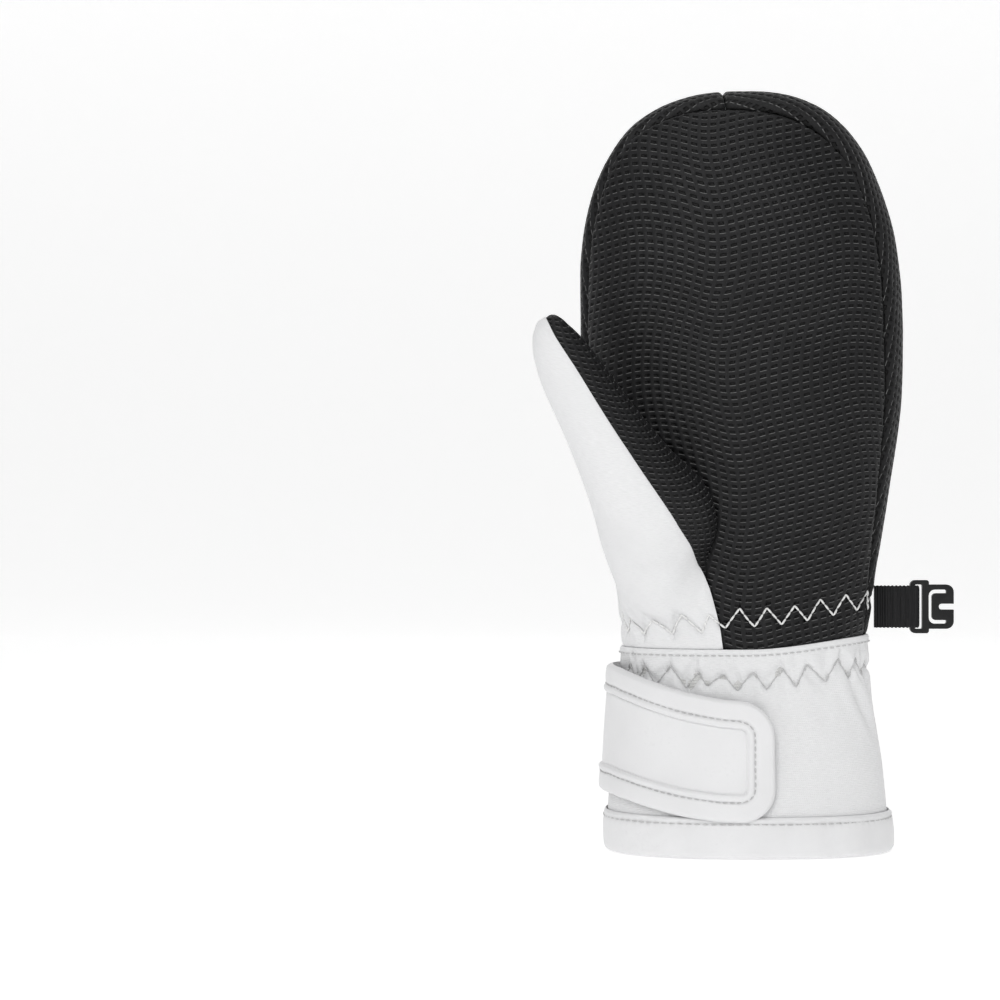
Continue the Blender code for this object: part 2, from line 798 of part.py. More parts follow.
# ---------------------------------------------------------------- threads


def thread(name, points, finish, closed=True):
    """A sewing thread along a run of points."""
    curve = bpy.data.curves.new(name, "CURVE")
    curve.dimensions = "3D"
    curve.bevel_depth = THREAD * MM
    curve.bevel_resolution = 0
    curve.use_fill_caps = True
    run = curve.splines.new("POLY")
    run.points.add(len(points) - 1)
    for at, point in zip(run.points, points):
        at.co = (*point, 1)
    run.use_cyclic_u = closed
    curve.materials.append(finish)
    made = bpy.data.objects.new(name, curve)
    bpy.context.scene.collection.objects.link(made)
    return made


def zigzag(name, middle, tilt, finish):
    """A zigzag row right round, sewn through the elastic under it."""
    points = []
    for k in range(2 * ZIGZAGS):
        angle = math.pi * k / ZIGZAGS
        z = middle + tilt * math.cos(angle) + ZIGZAG_HALF * (1 if k % 2 else -1)
        points.append(ring_point(z, angle, -THREAD_LIFT))
    return thread(name, points, finish)


def ring_stitch(name, z, lift, finish):
    """A straight row of stitches right round the cuff."""
    count = 2 * CUFF_COLUMNS
    points = [ring_point(z, 2 * math.pi * k / count, -lift) for k in range(count)]
    return thread(name, points, finish)


def strap_stitch(finish):
    """The row of stitches that runs round the strap's raised edge."""
    margin = STRAP_BORDER / 2
    lift = BORDER_LAYER[1] + THREAD + FIT
    stop = STRAP_SPLIT - margin / STRAP_LENGTH
    shares = strap_rows(0, stop, STRAP_COLUMNS, STRAP_CORNER - margin)
    shares = [share + margin / STRAP_LENGTH for share in shares]
    lower = [strap_point(share, -1, lift, margin) for share in reversed(shares)]
    upper = [strap_point(share, 1, lift, margin) for share in shares]
    return thread("strap_topstitch", lower + upper, finish, closed=False)


# ---------------------------------------------------------------- assembly


def hinge(name, at, pieces):
    """Parents moving pieces to an empty on their joint's axis."""
    empty = bpy.data.objects.new(name, None)
    empty.location = placed(*at)
    bpy.context.scene.collection.objects.link(empty)
    for piece in pieces:
        piece.parent = empty
        piece.matrix_parent_inverse = Matrix.Translation(-empty.location)
    return empty


def build_shell(white, black):
    """The shell panels of the hand. It returns those that leave a hole for the thumb."""
    palm = hand_panel("palm_panel", -1, palm_reach, black)
    hand_panel("hand_back_panel", 1, back_reach, white)
    for name, hand_side, foot in (
        ("edge_strip_pinky", 1, WRIST_SEAM),
        ("edge_strip_index", -1, THUMB_CROTCH),
    ):
        edge_panel(
            name,
            hand_side,
            edge_rows(foot, None),
            lambda along, side=hand_side: seam_share(along, side),
            EDGE_COLUMNS,
            black,
        )
    side = edge_panel(
        "index_side_panel",
        -1,
        edge_rows(WRIST_SEAM, THUMB_CROTCH - FIT),
        thumb_seam_share,
        2 * EDGE_COLUMNS,
        white,
    )
    return [palm, side]


def build_layers(membrane, wadding, lining):
    """The layers inside the hand. It returns those that leave a hole for the thumb."""
    hand_half("back_wadding", 1, WADDING, WADDING_FOOT, wadding)
    return [
        hand_bag("hand_membrane", MEMBRANE, MEMBRANE_FOOT, membrane),
        hand_half("palm_wadding", -1, WADDING, WADDING_FOOT, wadding),
        hand_bag("hand_lining", LINING, LINING_FOOT, lining),
    ]


def build_thumb(white, black, membrane, wadding, lining):
    """The thumb's shell and its layers, on the thumb's hinge."""
    pieces = [
        thumb_half("thumb_palm_panel", 1, black),
        thumb_half("thumb_back_panel", -1, white),
        thumb_bag("thumb_membrane", THUMB_MEMBRANE, membrane),
        thumb_bag("thumb_wadding", THUMB_WADDING, wadding),
        thumb_bag("thumb_lining", THUMB_LINING, lining),
    ]
    hinge("thumb_hinge", THUMB_AXIS, pieces)


def build_cuff(white, lining, elastic, trim, label):
    """The gauntlet, its lining and hem, the two elastics at the wrist and the label."""
    cuff_half("gauntlet_front", -1, white)
    cuff_half("gauntlet_back", 1, white)
    ring_band("cuff_lining", CUFF_LINING, (CUFF_LINING_FOOT, WRIST_SEAM), CUFF_ROWS, lining)
    ring_band("wrist_elastic_upper", WRIST_ELASTIC, WRIST_ELASTIC_Z, 1, elastic)
    ring_band("wrist_elastic_lower", CUFF_ELASTIC, CUFF_ELASTIC_Z, 1, elastic)
    hem(trim)
    care_label(label)


def build_strap(face, hook, loop, white_thread):
    """The strap: its sewn end and the loop patch stay on the cuff, and the rest peels open."""
    strap_slab("strap_anchor", 2 - STRAP_SPLIT, 2, STRAP_LAYER, face, count=6)
    strap_slab("cuff_loop_patch", *LOOP_PATCH, LOOP_LAYER, loop, PATCH_MARGIN, 5)
    pieces = [
        strap_slab("strap_tab", 0, STRAP_SPLIT, STRAP_LAYER, face),
        strap_border(face),
        strap_slab("strap_hook_patch", *HOOK_PATCH, HOOK_LAYER, hook, PATCH_MARGIN, 5),
        strap_stitch(white_thread),
    ]
    hinge("strap_hinge", STRAP_AXIS, pieces)


def build_clip(web, plastic):
    """The webbing and the clip that turns in its fold."""
    loop = webbing(web)
    clip = hook_clip(plastic)
    swing = hinge("webbing_hinge", (WEB_ROOT, WEB_Y, WEB_Z), [loop])
    pivot = hinge("clip_hinge", (BAR_X, WEB_Y, WEB_Z), [clip])
    pivot.parent = swing
    pivot.matrix_parent_inverse = Matrix.Translation(-swing.location)


def build_threads(white_thread):
    """The rows of stitches round the wrist, the cuff and the hem."""
    zigzag("zigzag_upper", *UPPER_ROW, white_thread)
    zigzag("zigzag_lower", *LOWER_ROW, white_thread)
    ring_stitch("wrist_topstitch", WRIST_SEAM - SEAM_MARGIN, THREAD_LIFT, white_thread)
    hem_lift = FIT + HEM_WALL + HEM_PUFF + THREAD
    ring_stitch("hem_topstitch", HEM_HEIGHT - SEAM_MARGIN, hem_lift, white_thread)


def main():
    """Builds the mitten."""
    clear_scene()
    white = material("white_softshell", (0.86, 0.86, 0.87), 0.75)
    black = material("black_grip", (0.02, 0.02, 0.022), 0.45)
    leather = material("white_coated_trim", (0.84, 0.84, 0.85), 0.5)
    membrane = material("membrane_film", (0.6, 0.62, 0.65), 0.35)
    wadding = material("wadding", (0.9, 0.9, 0.88), 0.95)
    lining = material("grey_fleece", (0.35, 0.35, 0.36), 0.95)
    white_thread = material("white_thread", (0.9, 0.9, 0.9), 0.5)
    opened = build_shell(white, black) + build_layers(membrane, wadding, lining)
    hole = thumb_hole()
    for piece in opened:
        cut(piece, hole)
    build_thumb(white, black, membrane, wadding, lining)
    build_cuff(
        white,
        lining,
        material("elastic", (0.8, 0.8, 0.8), 0.8),
        leather,
        material("blank_label", (0.8, 0.8, 0.8), 0.6),
    )
    build_strap(
        leather,
        material("hook_tape", (0.05, 0.05, 0.05), 0.7),
        material("loop_tape", (0.75, 0.75, 0.75), 0.9),
        white_thread,
    )
    build_clip(
        material("black_webbing", (0.015, 0.015, 0.015), 0.7),
        material("black_plastic", (0.01, 0.01, 0.01), 0.3),
    )
    build_threads(white_thread)


main()
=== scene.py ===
"""Left-hand ski mitten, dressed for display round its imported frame.

Lengths in this file are millimetres in the hand's own frame: the hem stands on z = 0, the palm faces -y and
the thumb points to -x. `to_scene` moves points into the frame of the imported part, in metres.
"""

import logging
import math
from dataclasses import dataclass, field
from enum import Enum
from typing import Callable, Sequence

import bmesh
import bpy
import numpy as np
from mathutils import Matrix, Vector
from mathutils.kdtree import KDTree


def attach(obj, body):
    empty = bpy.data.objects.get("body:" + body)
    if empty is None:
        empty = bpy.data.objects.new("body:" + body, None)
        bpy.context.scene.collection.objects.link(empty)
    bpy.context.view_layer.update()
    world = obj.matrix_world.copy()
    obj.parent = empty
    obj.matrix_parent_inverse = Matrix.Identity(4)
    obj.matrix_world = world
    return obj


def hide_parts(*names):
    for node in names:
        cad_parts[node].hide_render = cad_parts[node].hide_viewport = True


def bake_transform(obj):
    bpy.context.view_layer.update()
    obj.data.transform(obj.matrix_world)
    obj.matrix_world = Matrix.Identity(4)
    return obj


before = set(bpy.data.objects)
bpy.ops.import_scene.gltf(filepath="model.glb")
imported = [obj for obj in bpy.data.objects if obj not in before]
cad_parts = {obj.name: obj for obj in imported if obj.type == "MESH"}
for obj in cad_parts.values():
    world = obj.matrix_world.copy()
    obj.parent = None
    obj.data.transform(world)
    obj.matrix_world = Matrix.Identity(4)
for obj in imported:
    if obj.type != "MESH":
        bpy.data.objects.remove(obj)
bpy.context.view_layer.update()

LOG = logging.getLogger("ski_mitten")
Array = np.ndarray
Piece = bpy.types.Object
Socket = bpy.types.NodeSocket
MM = 0.001
ORIGIN = np.array([0.4, 7.7, 0.0])  # the hand's own frame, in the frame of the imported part
COARSE = 3  # fine cells of a panel's outside that span one coarse cell of its inside
SEAM_BAND = 9.0  # how far from the wrist seam rows still bend along it
BACK_SEAM = 0.862  # share of the half width at which the back panel meets the edge pieces
EASE_ROUNDS = 420  # rounds of smoothing along the thumb's back edge


# ---- small helpers


def lerp(a: float | Array, b: float | Array, t: float | Array) -> float | Array:
    """The value at a share of the way from a to b."""
    return a + (b - a) * t


def smooth(value: float | Array, low: float, high: float) -> float | Array:
    """A soft step from 0 at `low` to 1 at `high`."""
    t = np.clip((value - low) / (high - low), 0.0, 1.0)
    return t * t * (3 - 2 * t)


def power(value: float | Array, exponent: float) -> float | Array:
    """A power that keeps the sign."""
    return np.sign(value) * np.abs(value) ** exponent


def unit(vectors: Array) -> Array:
    """Vectors of length 1."""
    return vectors / np.maximum(np.linalg.norm(vectors, axis=-1, keepdims=True), 1e-9)


def to_scene(points: Array) -> Array:
    """Points of the hand's own frame, in the scene's frame and in metres."""
    return (np.asarray(points, float) + ORIGIN) * MM


def join(*parts: float | Array) -> Array:
    """Values side by side, as the last axis of one array."""
    return np.stack(np.broadcast_arrays(*parts), axis=-1)


def bell(value: Array, width: float | Array) -> Array:
    """A rounded bump that is 1 at 0 and fades over a width."""
    return np.exp(-((value / width) ** 2))


def round_turns(count: int) -> Array:
    """Evenly spaced turns once round, as a column."""
    return np.linspace(0, 2 * math.pi, count + 1)[:-1][:, None]


def path_run(points: Array) -> Array:
    """The distance to each point along a path."""
    return np.concatenate(([0.0], np.cumsum(np.linalg.norm(np.diff(points, axis=0), axis=1))))


def read_path(marks: Array, run: Array, points: Array) -> Array:
    """Points of a path where its distances or keys reach the marks."""
    return np.stack([np.interp(marks, run, column) for column in points.T], axis=-1)


def catmull(rows: Sequence[Sequence[float]], at: Array) -> Array:
    """A smooth curve through rows keyed by their first number.

    Args:
        rows: Each row is (key, value, value, ...).
        at: Keys at which the curve is read.

    Returns:
        One row of values for each key.
    """
    table = np.array(rows, float)
    keys, values = table[:, 0], table[:, 1:]
    slopes = np.gradient(values, keys, axis=0)
    at = np.clip(np.asarray(at, float), keys[0], keys[-1])
    i = np.clip(np.searchsorted(keys, at, side="right") - 1, 0, len(keys) - 2)
    span = (keys[i + 1] - keys[i])[..., None]
    t = (at - keys[i])[..., None] / span
    return (
        (2 * t**3 - 3 * t**2 + 1) * values[i]
        + (t**3 - 2 * t**2 + t) * span * slopes[i]
        + (3 * t**2 - 2 * t**3) * values[i + 1]
        + (t**3 - t**2) * span * slopes[i + 1]
    )


def wobble(points: Array, size: float, seed: int) -> Array:
    """Soft, repeatable unevenness between -1 and 1.

    Args:
        points: Points, shaped (..., 3).
        size: Rough distance between two bumps.
        seed: Picks one pattern.

    Returns:
        One value for each point.
    """
    rng = np.random.default_rng(seed)
    total = np.zeros(points.shape[:-1])
    for _ in range(6):
        direction = unit(rng.normal(size=3)) * (2 * math.pi / size) * rng.uniform(0.6, 1.5)
        total = total + np.sin(points @ direction + rng.uniform(0, 2 * math.pi))
    return total / 3.2


# ---- form


@dataclass
class MittenForm:
    """The outside of the hand, the cuff and the thumb, before anything is sewn or padded."""

    stations: tuple = (
        (0.0, 1.0, 50.6, 35.0, 35.0),
        (15.0, 0.6, 50.1, 34.5, 34.5),
        (30.0, 0.5, 48.8, 33.0, 33.0),
        (50.0, 0.0, 46.1, 30.0, 29.5),
        (70.0, -0.3, 44.2, 27.6, 26.6),
        (85.0, -0.3, 45.1, 27.2, 25.8),
        (105.0, -0.7, 48.3, 27.8, 25.4),
        (130.0, -1.0, 52.5, 28.8, 25.4),
        (155.0, -1.0, 56.0, 29.2, 25.2),
        (185.0, -1.35, 57.6, 28.6, 24.6),
    )
    dome_foot: float = 185.0
    tip: float = 270.7
    roundness: float = 2.35
    outline_index: float = 2.87
    outline_pinky: float = 2.3
    wrist: float = 74.0
    # Thumb: station, x, y, z of the spine, depth, half width outwards and inwards
    thumb: tuple = (
        (-1.0, -26.5, -14.0, 92.0, 13.6, 18.5, 14.5),
        (0.0, -30.5, -20.5, 104.0, 13.9, 19.6, 17.5),
        (1.0, -33.0, -24.0, 112.0, 17.0, 19.8, 21.7),
        (2.0, -37.5, -29.0, 123.0, 18.8, 18.8, 21.6),
        (3.0, -45.0, -35.0, 138.0, 17.0, 16.5, 16.0),
        (4.0, -54.5, -40.0, 156.0, 13.6, 14.5, 11.7),
        (5.0, -65.0, -41.0, 175.0, 10.2, 11.8, 8.6),
        (5.6, -69.6, -40.6, 183.0, 7.6, 8.4, 6.2),
        (5.85, -71.4, -40.2, 186.6, 5.2, 5.6, 4.5),
        (5.95, -72.3, -40.0, 188.3, 3.2, 3.4, 2.8),
        (6.0, -72.8, -39.9, 189.3, 0.25, 0.3, 0.25),
    )

    def __post_init__(self) -> None:
        """Reads the curves into tables."""
        self.heights = np.arange(0.0, self.dome_foot + 0.01, 0.5)
        self.sections = catmull(self.stations, self.heights)
        self.thumb_keys = np.arange(-1.0, 6.0001, 0.02)
        self.thumb_rows = catmull(self.thumb, self.thumb_keys)
        self.thumb_along = unit(np.gradient(self.thumb_rows[:, :3], axis=0))
        ahead = np.array([0.0, -1.0, 0.0])
        dot = (self.thumb_along @ ahead)[:, None]
        self.thumb_front = unit(ahead - self.thumb_along * dot)
        self.thumb_across = np.cross(self.thumb_along, self.thumb_front)

    def station(self, z: Array) -> tuple:
        """(centre x, half width, front depth, back depth) at heights."""
        z = np.clip(z, 0.0, self.dome_foot)
        return tuple(np.interp(z, self.heights, self.sections[:, k]) for k in range(4))

    def up_of(self, z: float | Array) -> float | Array:
        """Heights below the dome's foot as `up`: -1 at the wrist and 0 at the dome's foot."""
        return (z - self.dome_foot) / (self.dome_foot - self.wrist)

    def ring(self, z: Array, angle: Array) -> Array:
        """Points of the cross-section at a height. Angle 0 is +x and -90 degrees is the palm."""
        z, angle = np.broadcast_arrays(np.asarray(z, float), np.asarray(angle, float))
        centre, width, front, back = self.station(z)
        c, s = np.cos(angle), np.sin(angle)
        depth = np.where(s < 0, front, back)
        x = centre + width * power(c, 2 / self.roundness)
        return join(x, depth * power(s, 2 / self.roundness), z)

    def wrist_climb(self, across: Array) -> Array:
        """How far the wrist seam stands over its mean height; it climbs towards the little finger."""
        return -1.4 + 4.6 * smooth(across, -2.0, 50.0)

    def thumb_seam(self, station: Array) -> Array:
        """The turn at which the thumb's white outside meets its grip, found from the seam's own curve."""
        station = np.asarray(station, float)
        turns = np.linspace(-1.2, 1.7, 291)
        points = self.thumb_point(station[:, None], turns[None, :])
        gap = points[..., 0] - np.interp(points[..., 2], SEAM_HEIGHTS, SEAM_ACROSS)
        found = turns[np.argmin(np.abs(gap), axis=1)]
        found = np.where(station > 5.2, np.interp(5.2, station, found), found)
        order = np.argsort(station)
        out = np.empty_like(found)
        out[order] = np.convolve(np.pad(found[order], 6, mode="edge"), np.ones(13) / 13, mode="valid")
        return out

    def ring_angle(self, points: Array) -> Array:
        """The turn round the cross-section at which points lie."""
        x, y, z = np.moveaxis(points, -1, 0)
        centre, width, front, back = self.station(z)
        depth = np.where(y < 0, front, back)
        half = self.roundness / 2
        return np.arctan2(power(y / depth, half), power((x - centre) / width, half))

    def hand(self, across: Array, up: Array, side: float | Array) -> Array:
        """Points of the hand above its wrist.

        Args:
            across: -1 at the index edge to 1 at the little finger's edge.
            up: -1 at the wrist, 0 at the dome's foot and 1 at the fingertip.
            side: -1 for the palm and 1 for the back.

        Returns:
            Points shaped like the broadcast arguments.
        """
        across, up, side = np.broadcast_arrays(
            np.asarray(across, float), np.asarray(up, float), np.asarray(side, float)
        )
        z = lerp(self.dome_foot, self.wrist, -np.minimum(up, 0.0))
        centre, width, front, back = self.station(z)
        rise = np.maximum(up, 0.0)
        disc_x = across * np.sqrt(1 - rise * rise / 2)
        disc_z = rise * np.sqrt(1 - across * across / 2)
        reach = np.maximum(np.hypot(disc_x, disc_z), 1e-6)
        mix = 0.5 + 0.5 * disc_x / reach
        bend = lerp(self.outline_index, self.outline_pinky, mix)
        swell = ((np.abs(disc_x) / reach) ** bend + (disc_z / reach) ** bend) ** (-1 / bend)
        swell = np.where(up > 0, swell, 1.0)
        x = centre + width * disc_x * swell
        z = z + (self.tip - self.dome_foot) * disc_z * swell
        depth = np.where(side < 0, front, back)
        inside = np.maximum(0.0, 1 - np.minimum(reach, 1.0) ** self.roundness)
        return join(x, side * depth * inside ** (1 / self.roundness), z)

    def edge(self, along: Array, hand_side: int, turn: Array) -> Array:
        """Points near the hand's outline.

        Args:
            along: -1 at the wrist and 1 at the fingertip.
            hand_side: -1 for the index edge and 1 for the little finger's.
            turn: Angle round the edge, negative on the palm.

        Returns:
            Points shaped like the broadcast arguments.
        """
        along, turn = np.broadcast_arrays(np.asarray(along, float), np.asarray(turn, float))
        share = np.cos(turn) ** (2 / self.roundness)
        side = np.where(turn < 0, -1.0, 1.0)
        angle = np.maximum(along, 0.0) * math.pi / 2
        x = hand_side * share * np.cos(angle)
        z = share * np.sin(angle)
        across, up = square_of_disc(x, z)
        low = self.hand(hand_side * share, np.minimum(along, 0.0), side)
        high = self.hand(across, up, side)
        return np.where((along > 0)[..., None], high, low)

    def hand_distance(self, points: Array) -> Array:
        """Rough signed distance of points from the hand and cuff."""
        x, y, z = np.moveaxis(points, -1, 0)
        centre, width, front, back = self.station(z)
        u = (x - centre) / width
        rise = np.maximum(z - self.dome_foot, 0.0) / (self.tip - self.dome_foot)
        mix = 0.5 + 0.5 * u / np.maximum(np.hypot(u, rise), 1e-6)
        bend = lerp(self.outline_index, self.outline_pinky, mix)
        high = (np.abs(u) ** bend + rise**bend) ** (1 / bend)
        reach = np.where(rise > 0, high, np.abs(u))
        depth = np.where(y < 0, front, back)
        n = self.roundness
        level = np.maximum((reach**n + np.abs(y / depth) ** n) ** (1 / n), 1e-4)
        ray = np.sqrt((x - centre) ** 2 + y**2 + np.maximum(z - self.dome_foot, 0.0) ** 2)
        return ray * (1 - 1 / level)

    def thumb_frame(self, station: Array) -> tuple:
        """(centre, depth, outer half width, inner half width, front, across) at stations."""
        read = read_path(station, self.thumb_keys, self.thumb_rows)
        tables = (self.thumb_front, self.thumb_across)
        axes = [unit(read_path(station, self.thumb_keys, table)) for table in tables]
        return read[..., :3], read[..., 3], read[..., 4], read[..., 5], *axes

    def thumb_point(self, station: Array, angle: Array) -> Array:
        """Points of the thumb's sleeve. Angle 0 is its front and 90 degrees is the side of the fingers."""
        station, angle = np.broadcast_arrays(np.asarray(station, float), np.asarray(angle, float))
        centre, deep, outer, inner, front, across = self.thumb_frame(station)
        c, s = np.cos(angle), np.sin(angle)
        wide = np.where(s > 0, inner, outer)
        return centre + front * (deep * c)[..., None] + across * (wide * s)[..., None]

    def thumb_distance(self, points: Array) -> Array:
        """Rough signed distance of points from the thumb."""
        flat = points.reshape(-1, 3)
        out = np.full(len(flat), 60.0)
        near = np.flatnonzero((flat[:, 0] < 30) & (flat[:, 2] > 60) & (flat[:, 2] < 225) & (flat[:, 1] < 15))
        coarse = slice(0, None, 6)
        spine = self.thumb_rows[coarse, :3]
        keys = self.thumb_keys[coarse]
        for start in range(0, len(near), 20000):
            chosen = near[start : start + 20000]
            here = flat[chosen]
            gaps = ((here[:, None, :] - spine[None]) ** 2).sum(-1)
            station = keys[np.argmin(gaps, axis=1)]
            for _ in range(3):
                centre = self.thumb_frame(station)[0]
                ahead = self.thumb_frame(np.minimum(station + 0.05, 6.0))[0]
                step = np.maximum(np.linalg.norm(ahead - centre, axis=1), 1e-6)
                slide = ((here - centre) * (ahead - centre)).sum(1) / step**2 * 0.05
                station = np.clip(station + slide, -1.0, 5.6)
            centre, deep, outer, inner, front, across = self.thumb_frame(station)
            offset = here - centre
            ahead_part = (offset * front).sum(1)
            wide_part = (offset * across).sum(1)
            along_part = np.maximum(np.abs((offset * np.cross(front, across)).sum(1)) - 0.5, 0.0)
            wide = np.where(wide_part > 0, inner, outer)
            level = np.sqrt((ahead_part / deep) ** 2 + (wide_part / wide) ** 2 + (along_part / deep) ** 2)
            ray = np.linalg.norm(offset, axis=1)
            out[chosen] = ray * (1 - 1 / np.maximum(level, 1e-3))
        return out.reshape(points.shape[:-1])

    def fillet(self, points: Array) -> Array:
        """How softly the thumb grows out of the hand: much at the white side, little on the grip side."""
        seam = np.interp(points[..., 2], SEAM_HEIGHTS, SEAM_ACROSS)
        wide = lerp(4.0, 20.0, smooth(seam - points[..., 0], 0.0, 14.0))
        return wide * lerp(0.2, 1.0, smooth(points[..., 2], 86.0, 112.0))

    def distance(self, points: Array) -> Array:
        """Signed distance from hand and thumb together."""
        hand = self.hand_distance(points)
        thumb = self.thumb_distance(points)
        soft = self.fillet(points)
        near = np.maximum(soft - np.abs(hand - thumb), 0.0) / soft
        return np.minimum(hand, thumb) - near * near * soft / 4

    def slope(self, points: Array, measure: Callable[[Array], Array], step: float = 0.4) -> Array:
        """The gradient of a distance at points."""
        columns = []
        for k in range(3):
            shift = np.zeros(3)
            shift[k] = step
            columns.append((measure(points + shift) - measure(points - shift)) / (2 * step))
        return np.stack(columns, axis=-1)

    def settle(self, points: Array, measure: Callable[[Array], Array], rounds: int = 4) -> Array:
        """Moves points onto the surface where a distance is nothing."""
        for _ in range(rounds):
            gradient = self.slope(points, measure)
            steep = np.maximum((gradient**2).sum(-1), 0.05)
            points = points - gradient * (np.clip(measure(points), -8, 8) / steep)[..., None]
        return points


def square_of_disc(x: Array, z: Array) -> tuple[Array, Array]:
    """The (across, up) whose point in the unit disc is (x, z)."""
    root = 2 * math.sqrt(2)
    a = 2 + x * x - z * z
    b = 2 - x * x + z * z

    def part(base: Array, value: Array) -> Array:
        """Half the difference of two roots."""
        return 0.5 * (
            np.sqrt(np.maximum(0.0, base + root * value)) - np.sqrt(np.maximum(0.0, base - root * value))
        )

    return part(a, x), part(b, z)


# Seam between the white side and the black grip, from the wrist seam to the thumb's tip
SEAM = np.array(
    [
        (70.0, -10.3), (74.1, -10.7), (79.7, -11.5), (85.4, -12.9), (91.0, -14.3), (96.8, -16.2),
        (102.5, -19.3), (108.2, -22.4), (113.9, -26.2), (119.4, -29.9), (125.0, -33.5), (130.5, -37.4),
        (136.0, -41.0), (141.5, -44.8), (147.0, -48.2), (152.5, -52.1), (158.0, -55.5), (163.6, -58.6),
        (169.1, -62.3), (174.7, -65.8), (180.3, -69.9), (186.1, -73.3), (189.2, -74.6),
    ]
)
SEAM_HEIGHTS, SEAM_ACROSS = SEAM.T


# ---- sewing and padding


@dataclass
class ZigzagRow:
    """One zigzag row of stitches, sewn right round through the elastic under it.

    Attributes:
        name: The CAD node that the row stands for.
        seed: Picks the row's own unevenness.
        points: (turn in degrees, height) of the turning points on the palm side, which start at a high one.
        legs: How many more legs go round the back.
        strength: How deep its creases are.
    """

    name: str
    seed: int
    points: tuple
    legs: int
    strength: float = 1.0

    def __post_init__(self) -> None:
        """Adds the turning points round the back, evenly spaced."""
        rng = np.random.default_rng(self.seed + 100)
        first, last = self.points[0], self.points[-1]
        turn = np.radians(np.linspace(last[0], first[0] + 360.0, 400))
        spine = join(45.0 * power(np.cos(turn), 0.85), 27.0 * power(np.sin(turn), 0.85))
        run = path_run(spine)
        marks = np.arange(1, self.legs) + rng.uniform(-0.12, 0.12, self.legs - 1)
        turns = np.degrees(np.interp(marks / self.legs * run[-1], run, turn))
        middle = lerp(last[1], first[1], np.arange(1, self.legs) / self.legs)
        drop = np.where(np.arange(1, self.legs) % 2 == 1, -6.6, 0.0) + rng.uniform(-0.5, 0.5, self.legs - 1)
        front = np.array(self.points)
        turning = np.concatenate((front, join(turns, middle + drop)))
        self.count = len(turning)
        before, after = turning[-1:] - [360.0, 0.0], turning[:1] + [360.0, 0.0]
        self.table = np.concatenate((before, turning, after))
        self.table[:, 0] = np.radians(self.table[:, 0])
        heights = np.pad(self.table[:, 1], 2, mode="edge")
        self.levels = np.convolve(heights, [0.125, 0.25, 0.25, 0.25, 0.125], "valid")

    def read(self, angle: Array, values: Array) -> Array:
        """Values of the table at turns, which are first brought into the one round that it covers."""
        start = self.table[1, 0]
        return np.interp(start + np.mod(angle - start, 2 * math.pi), self.table[:, 0], values)

    def level(self, angle: Array) -> Array:
        """Height of the row's middle."""
        return self.read(angle, self.levels)

    def phase(self, angle: Array) -> Array:
        """Even whole numbers at the row's low points and odd ones at its high points."""
        return self.read(angle, np.arange(len(self.table)))

    def line(self, angle: Array) -> Array:
        """Height of the thread."""
        return self.read(angle, self.table[:, 1])

    def turn(self, phase: Array) -> Array:
        """The turn at which the row reaches a phase."""
        return np.interp(phase, np.arange(len(self.table)), self.table[:, 0])

    def gathers(self, angle: Array, z: Array) -> Array:
        """How far the fabric stands out round this row, where the elastic draws it together.

        Args:
            angle: Turn round the wrist.
            z: Height.

        Returns:
            Millimetres, outwards.
        """
        rng = np.random.default_rng(self.seed)
        depth = rng.uniform(0.5, 1.2, self.count) * self.strength
        slant = rng.uniform(-0.055, 0.055, self.count)
        length = rng.uniform(5.0, 12.0, self.count)
        over = z - self.level(angle)
        gap = (z - self.line(angle)) * 0.57
        groove = -0.85 * bell(gap, 0.75)
        out = groove + 0.75 * bell(over, 7.5) * (1 - bell(gap, 1.7))
        for lower in (True, False):
            phase = self.phase(angle) + (0 if lower else 1)
            nearest = 2 * np.round(phase / 2)
            k = np.mod(nearest.astype(int) - (0 if lower else 1), self.count)
            rise = over if lower else -over
            moved = phase - nearest - slant[k] * np.maximum(rise, 0.0) * 4
            width = 0.34 + 0.02 * np.maximum(rise, 0.0)
            crease = bell(moved, width)
            reach = smooth(rise, -4.0, -0.5) * bell(np.maximum(rise, 0.0), length[k])
            out = out - depth[k] * crease * reach
        return out


UPPER_ROW = ZigzagRow(
    "zigzag_upper",
    11,
    (
        (-153.6, 83.8), (-144.0, 77.2), (-134.9, 84.1), (-124.6, 77.5), (-118.7, 85.0), (-109.0, 78.3),
        (-105.6, 84.7), (-98.6, 80.0), (-93.1, 87.0), (-89.0, 80.5), (-84.9, 87.2), (-78.9, 81.2),
        (-73.3, 87.9), (-66.7, 82.5), (-60.4, 90.1), (-51.7, 84.2), (-43.8, 91.6), (-32.1, 85.7),
        (-19.9, 92.7),
    ),
    30,
)
LOWER_ROW = ZigzagRow(
    "zigzag_lower",
    23,
    (
        (-145.2, 66.5), (-135.2, 60.0), (-126.1, 66.8), (-116.9, 59.2), (-111.0, 64.6), (-106.8, 60.0),
        (-99.5, 63.9), (-94.1, 58.3), (-89.4, 64.7), (-85.3, 58.7), (-78.5, 66.0), (-72.7, 59.7),
        (-66.6, 67.3), (-56.6, 61.2), (-47.3, 69.2),
    ),
    36,
    2.1,
)


CLOTH = {
    "quality": 6,
    "mass": 0.25,
    "tension_stiffness": 12,
    "compression_stiffness": 12,
    "shear_stiffness": 6,
    "bending_stiffness": 0.6,
    "use_pressure": True,
    "shrink_min": -0.035,
}


